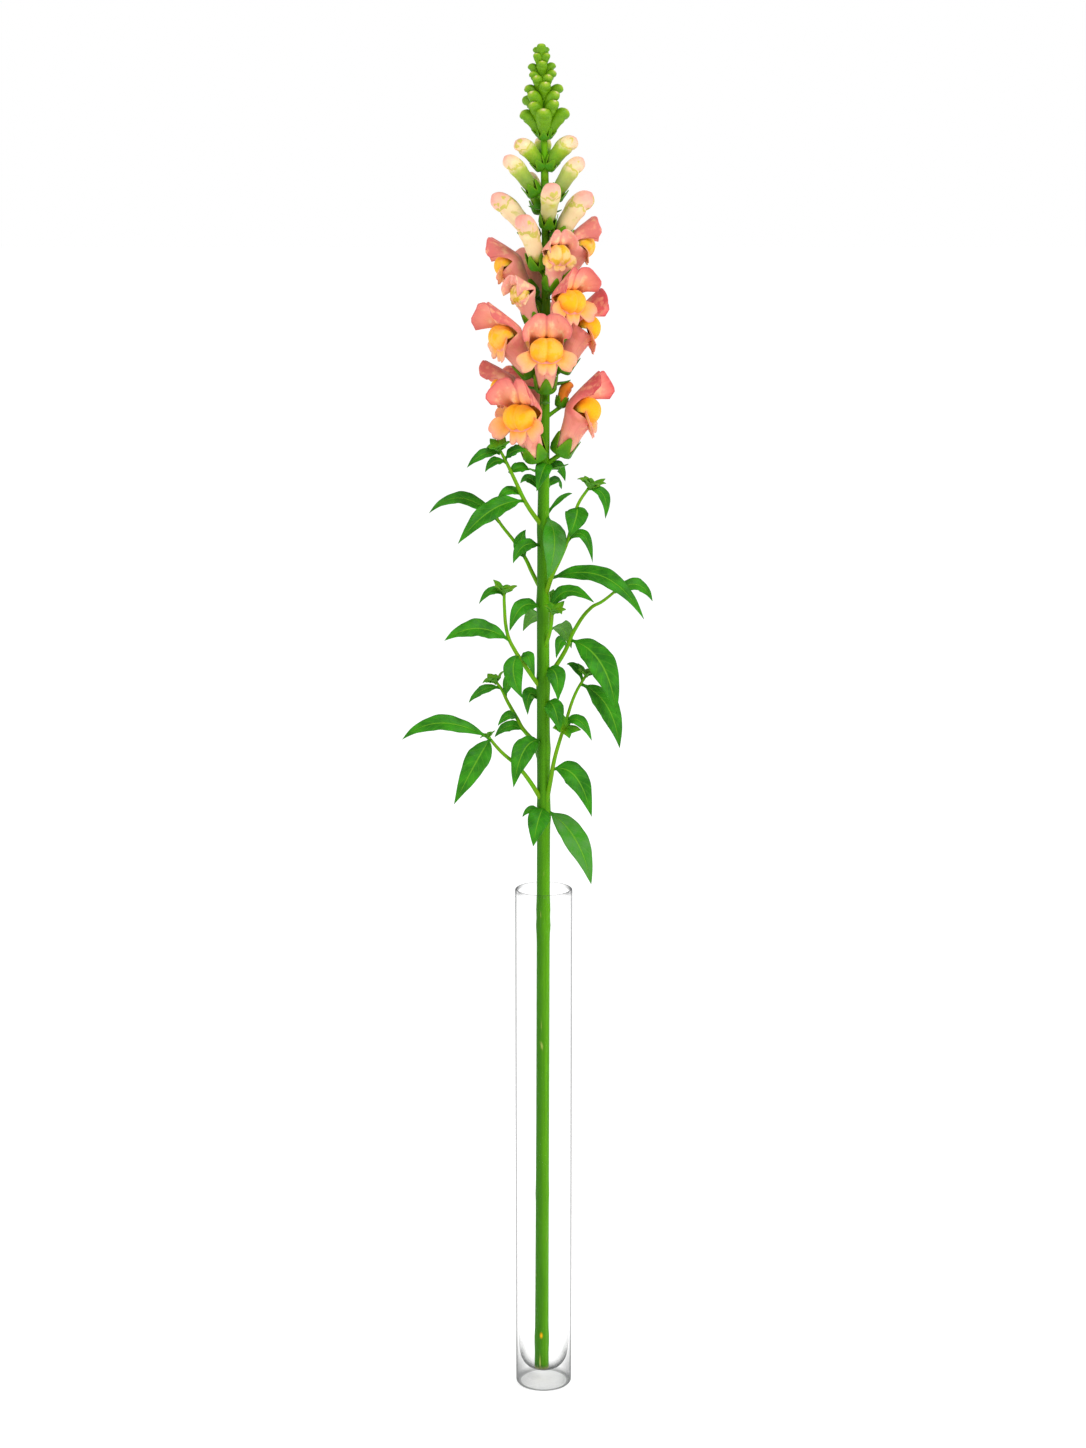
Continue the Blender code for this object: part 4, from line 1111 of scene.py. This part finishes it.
def leaf_place(root, middle, tip, width, facing, waves, phase):
    """Maps a grid onto a narrow oval blade with a stalk, a folded midrib and waved edges."""
    start, end = Vector(root), Vector(tip)
    control = 2.0 * Vector(middle) - (start + end) / 2.0
    face = Vector(facing).normalized()

    def place(u, v):
        spine = start * (1 - v) ** 2 + control * (2 * v * (1 - v)) + end * v ** 2
        tangent = ((control - start) * (2 * (1 - v)) + (end - control) * (2 * v)).normalized()
        side = tangent.cross(face).normalized()
        normal = side.cross(tangent)
        stalk = 0.75 * (1.0 - v) ** 2 + 0.25
        grown = min(max((v - 0.06) / 0.94, 0.0), 1.0) ** 0.80
        blade = 0.5 * BROADER * width * math.sin(math.pi * grown)
        half = max(blade, stalk) if v < 0.999 else 0.0
        wave = math.sin(2 * math.pi * waves * v + phase * u)
        wave += 0.3 * math.sin(5.1 * math.pi * waves * v + 2.0 + 3.0 * u)
        lift = 0.16 * abs(u) * half + 0.15 * half * u * u * wave - 0.06 * half * u ** 6
        lift -= 0.25 * math.exp(-(u / 0.10) ** 2) * min(half / 3.0, 1.0)
        return (spine + side * (u * half) + normal * lift) * MM

    return place


def leaf(name, paint, spine, width, sizes, facing, waves, phase, fine):
    """One leaf along its spine's root, middle and tip; fine picks its grid."""
    columns, rows = LEAF_GRIDS[fine]
    face = Vector(facing).normalized()
    place = leaf_place(*spine, width, facing, waves, phase)
    return sheet(name, paint, columns, rows, place, sizes.leaf_thickness, face.dot)


def rosette(name, paint, foot, direction, count, length, width, seed, sizes):
    """Small leaves spread round the end of a shoot."""
    rng = random.Random(seed)
    axis = Vector(direction).normalized()
    across = axis.cross(Vector((0.3, 1.0, 0.2))).normalized()
    made = []
    for index in range(count):
        turn = Matrix.Rotation(index * SPIRAL_STEP + rng.uniform(-0.3, 0.3), 3, axis)
        reach = length * rng.uniform(0.85, 1.15)
        out = turn @ across
        middle = Vector(foot) + out * (0.42 * reach) + axis * (0.42 * reach)
        rise = 0.35 + 0.5 * index / count
        tip = Vector(foot) + out * (0.88 * reach) + axis * (rise * reach)
        facing = axis * 0.8 - out * 0.25 + Vector((0.0, -0.2, 0.0))
        made.append(leaf(f"{name}_{index}", paint, (foot, middle, tip), width, sizes, facing, 1.5, 0.6, 0))
    return made


# Sizes and colours


def length_setting(name, description, default):
    return FloatProperty(
        name=name, description=description, default=default, min=0.0, unit="LENGTH", precision=4,
    )


def colour_setting(name, description, default):
    return FloatVectorProperty(
        name=name, description=description, default=(*default, 1.0), size=4, subtype="COLOR",
        min=0.0, max=1.0,
    )


class SnapdragonSizes(bpy.types.PropertyGroup):
    """Sizes of the vase and of the petals and leaves."""

    vase_height: length_setting("Vase height", "Height of the glass", VASE_HEIGHT)
    vase_radius: length_setting("Vase radius", "Outer radius of the glass", VASE_RADIUS)
    vase_wall: length_setting("Vase wall", "Thickness of the glass wall", 0.0016)
    vase_floor: length_setting("Vase floor", "Thickness of the glass under the stem", 0.008)
    petal_thickness: length_setting("Petal thickness", "Thickness of a petal", 0.00045)
    leaf_thickness: length_setting("Leaf thickness", "Thickness of a leaf", 0.00045)
    sepal_thickness: length_setting("Sepal thickness", "Thickness of a sepal", 0.0004)
    petal_ruffle: length_setting("Petal ruffle", "Height of the waves along a petal's edge", 0.00055)


class SnapdragonColours(bpy.types.PropertyGroup):
    """Colours of the plant, the glass and the floor."""

    salmon: colour_setting("Salmon", "Outside of the tube and upper lip", (0.74, 0.165, 0.145))
    salmon_pale: colour_setting("Pale salmon", "Lit parts of the tube", (0.86, 0.3, 0.235))
    rose: colour_setting("Rose", "Edges and veins of the petals", (0.6, 0.075, 0.085))
    peach: colour_setting("Peach", "Inside of the upper lip and the lobes", (0.88, 0.26, 0.07))
    peach_pale: colour_setting("Pale peach", "Lobe ends", (0.9, 0.4, 0.23))
    orange: colour_setting("Orange", "Foot of the palate", (0.92, 0.27, 0.008))
    apricot: colour_setting("Apricot", "Foot of the lobes", (0.95, 0.4, 0.09))
    yellow: colour_setting("Yellow", "Swollen palate", (1, 0.44, 0.002))
    yellow_green: colour_setting("Yellow green", "Throat of the palate", (0.5, 0.5, 0.03))
    blush: colour_setting("Blush", "Young petals", (0.88, 0.42, 0.33))
    cream: colour_setting("Cream", "Middle of the buds", (0.9, 0.69, 0.4))
    rust: colour_setting("Rust", "Withered floret", (0.62, 0.16, 0.02))
    bud_green: colour_setting("Bud green", "Foot of the buds", (0.075, 0.23, 0.002))
    lime: colour_setting("Lime", "Green buds", (0.14, 0.32, 0.003))
    lime_pale: colour_setting("Pale lime", "Tips of the green buds", (0.33, 0.48, 0.02))
    sepal: colour_setting("Sepal", "Sepals", (0.05, 0.21, 0.002))
    leaf_dark: colour_setting("Dark leaf", "Leaves between their veins", (0.014, 0.14, 0.002))
    leaf_light: colour_setting("Light leaf", "Lit parts of the leaves", (0.036, 0.27, 0.003))
    # Painted sheen: the pale patches that stand for the gloss on the older leaves
    painted_leaf_sheen: colour_setting("Pale leaf", "The bloom on the older leaves", (0.085, 0.27, 0.05))
    leaf_under: colour_setting("Leaf underside", "Undersides of the leaves", (0.07, 0.25, 0.016))
    leaf_vein: colour_setting("Leaf vein", "Midribs and veins", (0.15, 0.42, 0.015))
    # Painted shade and light on the stem: the dark green is its shaded left, the light green its lit right;
    # the dark green also colours the ribs and the light green the side shoots
    stem_dark: colour_setting("Dark stem", "Left side of the stem", (0.034, 0.165, 0.0005))
    stem_light: colour_setting("Light stem", "Right side of the stem", (0.105, 0.36, 0.0005))
    scar: colour_setting("Scar", "Leaf scars and the cut end", (0.42, 0.47, 0.1))
    # Painted grey that stands in for refraction in the glass
    glass_edge: colour_setting("Glass edge", "Glass seen edge on", (0.055, 0.06, 0.062))
    floor: colour_setting("Floor", "Plain pale floor", (0.96, 0.96, 0.96))


# Steps


class SNAPDRAGON_OT_stage(bpy.types.Operator):
    """Adds the plain pale floor, the soft studio light and the camera"""

    bl_idname = "snapdragon.stage"
    bl_label = "Stage"

    def execute(self, context):
        colours = context.scene.snapdragon_colours
        deselect()
        bpy.ops.mesh.primitive_plane_add(size=FLOOR_SIZE, location=(0.0, 0.0, 0.0))
        floor = context.object
        floor.name = "floor"
        floor.data.materials.append(floor_paint(colours))
        context.scene.world = studio_light()
        for name, spot, size, power in LAMPS:
            turn = (Vector(spot) - Vector(LAMP_AIM)).to_track_quat("Z", "Y").to_euler()
            bpy.ops.object.light_add(type="AREA", location=spot, rotation=turn)
            lamp = context.object
            lamp.name = name
            lamp.data.size = size
            lamp.data.energy = power
        bpy.ops.object.camera_add(location=CAMERA_SPOT, rotation=(CAMERA_TILT, 0.0, 0.0))
        context.object.data.lens = CAMERA_LENS
        context.object.data.sensor_width = CAMERA_SENSOR
        context.scene.camera = context.object
        context.scene.view_settings.view_transform = "Standard"
        return {"FINISHED"}


class SNAPDRAGON_OT_vase(bpy.types.Operator):
    """Models the tall narrow glass cylinder with its rounded rim and thick floor"""

    bl_idname = "snapdragon.vase"
    bl_label = "Glass vase"

    def execute(self, context):
        sizes = context.scene.snapdragon_sizes
        outer, top, low = sizes.vase_radius / MM, sizes.vase_height / MM, sizes.vase_floor / MM
        inner = outer - sizes.vase_wall / MM
        profile = [
            (2.0, 0.0), (outer - 3.0, 0.0), (outer - 1.4, 0.15), (outer - 0.5, 0.6), (outer - 0.1, 1.3),
            (outer, 2.2), (outer, 40.0), (outer, top - 20.0), (outer, top - 0.8), (outer - 0.2, top - 0.25),
            (outer - 0.55, top), (inner + 0.55, top), (inner + 0.2, top - 0.25), (inner, top - 0.8),
            (inner, top - 20.0), (inner, low + 26.0), (inner - 0.1, low + 17.0), (inner - 0.5, low + 12.0),
            (inner - 1.4, low + 8.0), (inner - 2.9, low + 5.0), (inner - 5.0, low + 2.7),
            (inner - 7.6, low + 1.2), (inner - 10.4, low + 0.3), (2.0, low),
        ]
        rings = [(0.0, 0.0, z, r) for r, z in profile]
        glass = glass_paint(context.scene.snapdragon_colours)
        vase = risen("glass_vase", glass, rings, VASE_SIDES, math.radians(50))
        one_piece("glass_vase", [vase], "vase", "vase")
        return {"FINISHED"}


class SNAPDRAGON_OT_stem(bpy.types.Operator):
    """Models the main stem with its stalks, sepals, bracts and small leaves"""

    bl_idname = "snapdragon.stem"
    bl_label = "Main stem"

    def execute(self, context):
        sizes, colours = context.scene.snapdragon_sizes, context.scene.snapdragon_colours
        skin, sepals = stem_paint(colours), sepal_paint(colours)
        blades = leaf_paint("small_leaf", colours, colours.leaf_dark, colours.leaf_light)
        rings = []
        for index in range(STEM_RINGS + 1):
            height = STEM[0][2] + (STEM[-1][2] - STEM[0][2]) * index / STEM_RINGS
            x, y, z, radius = stem_place(height)
            swell = sum(rise * math.exp(-((height - at) / KNUCKLE_HALF) ** 2) for at, rise in KNUCKLES)
            rings.append((x, y, z, radius + swell))
        pieces = [risen("stem_rod", skin, rings, STEM_SIDES)]
        for index, (height, azimuth, reach, lean, size, *_) in enumerate([*FLORETS, HALF_OPEN]):
            pieces.append(pedicel(f"stalk_{index}", skin, height, azimuth, reach, 1.3))
            home = floret_frame(height, azimuth, reach, lean)
            pieces.append(calyx(f"calyx_{index}", sepals, home, 11.6 * size, sizes))
        for index, (height, azimuth, reach, lean, length, width, _) in enumerate(BUDS):
            pieces.append(pedicel(f"bud_stalk_{index}", skin, height, azimuth, reach, 1.1))
            home = floret_frame(height, azimuth, reach, lean)
            pieces.append(calyx(f"bud_calyx_{index}", sepals, home, 0.78 * width, sizes))
        for index, (height, azimuth, length, width) in enumerate(BRACTS):
            around = math.radians(azimuth)
            x, y, _, radius = stem_place(height)
            out = Vector((math.cos(around), math.sin(around), 0.0))
            foot = Vector((x, y, height)) + out * (radius - 0.8)
            middle = foot + out * (0.48 * length) + Vector((0.0, 0.0, 0.06 * length))
            tip = foot + out * (0.88 * length) + Vector((0.0, 0.0, 0.22 * length))
            facing = Vector((0.0, 0.0, 0.6)) - out
            spine = (foot, middle, tip)
            pieces.append(leaf(f"bract_{index}", blades, spine, width, sizes, facing, 0.5, 0.0, 0))
        for index, (*spine, width) in enumerate(STEM_LEAFLETS):
            facing = LEAF_FACING if spine[2][1] < 15 else BACK_FACING
            pieces.append(leaf(f"leaflet_{index}", blades, spine, width, sizes, facing, WAVES, index, 1))
        one_piece("stem_and_calyces", pieces, "stem", "main_stem")
        return {"FINISHED"}


class SNAPDRAGON_OT_head(bpy.types.Operator):
    """Models the green top of the spike, its buds packed closer towards the tip"""

    bl_idname = "snapdragon.head"
    bl_label = "Bud head"

    def execute(self, context):
        sizes, colours = context.scene.snapdragon_sizes, context.scene.snapdragon_colours
        green, turning, sepals = green_bud_paint(colours), bud_paint(colours), sepal_paint(colours)
        pieces = [rod("head_rod", shoot_paint(colours), HEAD, 16)]
        for index, (height, azimuth, reach, lean, length, width, ripe) in enumerate(HEAD_BUDS):
            home = floret_frame(height, azimuth, reach, lean)
            skin = turning if ripe else green
            pieces.append(bud_form(f"head_bud_{index}", skin, home, length, width, 24, 18, ripe))
            pieces.append(calyx(f"head_calyx_{index}", sepals, home, 0.66 * width, sizes, 0.12, 30, 7))
        one_piece("green_head", pieces, "head", "bud_head")
        return {"FINISHED"}


class SNAPDRAGON_OT_florets(bpy.types.Operator):
    """Models the open and half-open florets, each a tube with its upper lip and a palate with its lobes"""

    bl_idname = "snapdragon.florets"
    bl_label = "Open florets"

    def execute(self, context):
        sizes, colours = context.scene.snapdragon_sizes, context.scene.snapdragon_colours
        petals, palates = petal_paint(colours), palate_paint(colours)
        rows = [*FLORETS, HALF_OPEN]
        for number, (height, azimuth, reach, lean, size, openness, warmth, *turned) in enumerate(rows, 1):
            home = floret_frame(height, azimuth, reach, lean)
            outward = home.to_3x3() @ Vector((1.0, 0.0, 0.0))
            axis = home.to_3x3() @ Vector((0.0, 0.0, 1.0))
            origin = home.translation

            def nearer(spot):
                offset = spot - origin
                return -(offset - axis * offset.dot(axis)).length

            phase, ruffle = 1.3 * number, openness * sizes.petal_ruffle / MM
            place = corolla_place(home, size, openness, turned, ruffle, phase)
            corolla = sheet(
                f"petal_{number:02d}", petals, *COROLLA_GRID, place, sizes.petal_thickness, nearer,
                in_tube_or_lip, cheek_swell(home, size),
            )
            set_mark(corolla, "warmth", warmth)
            place = palate_place(home, size, openness, ruffle, phase)
            palate = sheet(
                f"palate_{number:02d}", palates, *PALATE_GRID, place, sizes.petal_thickness, outward.dot,
            )
            set_mark(palate, "warmth", warmth)
            if number > len(FLORETS):
                one_piece("half_open_floret", [corolla, palate], "bud", "bud_01")
            else:
                one_piece(f"upper_petal_{number:02d}", [corolla], "corolla", f"corolla_{number:02d}")
                one_piece(f"lower_petal_{number:02d}", [palate], "lip", f"lip_{number:02d}")
        return {"FINISHED"}


class SNAPDRAGON_OT_buds(bpy.types.Operator):
    """Models the coloured buds and the withered floret"""

    bl_idname = "snapdragon.buds"
    bl_label = "Coloured buds"

    def execute(self, context):
        skin = bud_paint(context.scene.snapdragon_colours)
        for number, (height, azimuth, reach, lean, length, width, ripe) in enumerate(BUDS, 2):
            home = floret_frame(height, azimuth, reach, lean)
            made = bud_form(f"closed_bud_{number:02d}", skin, home, length, width, 40, 30, ripe)
            one_piece(f"closed_bud_{number:02d}", [made], "bud", f"bud_{number:02d}")
        return {"FINISHED"}


class SNAPDRAGON_OT_shoots(bpy.types.Operator):
    """Models the leafy side shoots"""

    bl_idname = "snapdragon.shoots"
    bl_label = "Side shoots"

    def execute(self, context):
        sizes, colours = context.scene.snapdragon_sizes, context.scene.snapdragon_colours
        skin = shoot_paint(colours)
        blades = leaf_paint("shoot_leaf", colours, colours.leaf_dark, colours.leaf_light)
        young = leaf_paint("young_leaf", colours, colours.leaf_light, colours.lime)
        for number, (path, root_radius, tip_radius, leaves, rosettes) in enumerate(SHOOTS, 1):
            name = f"shoot_{number:02d}"
            last = len(path) - 1
            radii = [root_radius + (tip_radius - root_radius) * index / last for index in range(last + 1)]
            points = [(*spot, radius) for spot, radius in zip(path, radii)]
            pieces = [rod(name + "_rod", skin, points, ROD_SIDES)]
            for index, (*spine, width) in enumerate(leaves):
                length = (Vector(spine[2]) - Vector(spine[0])).length
                facing = LEAF_FACING if spine[2][1] < 28 else BACK_FACING
                fine = 2 if length > LONG_LEAF else 1
                made = leaf(f"{name}_leaf_{index}", blades, spine, width, sizes, facing, WAVES, index, fine)
                pieces.append(made)
            for index, row in enumerate(rosettes):
                pieces += rosette(f"{name}_rosette_{index}", young, *row, 10 * number + index, sizes)
            one_piece(f"side_{name}", pieces, "foliage", name)
        return {"FINISHED"}


class SNAPDRAGON_OT_leaves(bpy.types.Operator):
    """Models the larger leaves that hang from the main stem"""

    bl_idname = "snapdragon.leaves"
    bl_label = "Stem leaves"

    def execute(self, context):
        sizes, colours = context.scene.snapdragon_sizes, context.scene.snapdragon_colours
        blades = leaf_paint("blade", colours, colours.leaf_dark, colours.leaf_light)
        # Painted sheen: the older leaves' patches of the pale colour stand for their glossy highlights
        sheen_painted_blades = leaf_paint("sheen_painted_blade", colours, colours.leaf_light, colours.painted_leaf_sheen)
        for number, (*spine, width) in enumerate(STEM_LEAVES, 1):
            paint = sheen_painted_blades if number in SHEEN_PAINTED_LEAVES else blades
            made = leaf(f"blade_{number}", paint, spine, width, sizes, LEAF_FACING, WAVES, number, 2)
            one_piece(f"hanging_leaf_{number:02d}", [made], "foliage", f"leaf_{number:02d}")
        return {"FINISHED"}


class SNAPDRAGON_PT_panel(bpy.types.Panel):
    """Lists the steps, sizes and colours in the 3D view's sidebar"""

    bl_idname = "SNAPDRAGON_PT_panel"
    bl_label = "Snapdragon"
    bl_space_type = "VIEW_3D"
    bl_region_type = "UI"
    bl_category = "Snapdragon"

    def draw(self, context):
        for step in STEPS:
            self.layout.operator(step.bl_idname)
        for group in (context.scene.snapdragon_sizes, context.scene.snapdragon_colours):
            box = self.layout.box()
            for name in group.bl_rna.properties.keys():
                if name not in {"rna_type", "name"}:
                    box.prop(group, name)


STEPS = (
    SNAPDRAGON_OT_stage, SNAPDRAGON_OT_vase, SNAPDRAGON_OT_stem, SNAPDRAGON_OT_head, SNAPDRAGON_OT_florets,
    SNAPDRAGON_OT_buds, SNAPDRAGON_OT_shoots, SNAPDRAGON_OT_leaves,
)
CLASSES = (SnapdragonSizes, SnapdragonColours, *STEPS, SNAPDRAGON_PT_panel)


def register():
    for kind in CLASSES:
        bpy.utils.register_class(kind)
    bpy.types.Scene.snapdragon_sizes = PointerProperty(type=SnapdragonSizes)
    bpy.types.Scene.snapdragon_colours = PointerProperty(type=SnapdragonColours)


def unregister():
    del bpy.types.Scene.snapdragon_colours
    del bpy.types.Scene.snapdragon_sizes
    for kind in reversed(CLASSES):
        bpy.utils.unregister_class(kind)


def main():
    register()
    bpy.ops.snapdragon.stage()
    bpy.ops.snapdragon.vase()
    bpy.ops.snapdragon.stem()
    bpy.ops.snapdragon.head()
    bpy.ops.snapdragon.florets()
    bpy.ops.snapdragon.buds()
    bpy.ops.snapdragon.shoots()
    bpy.ops.snapdragon.leaves()


if __name__ == "__main__":
    main()
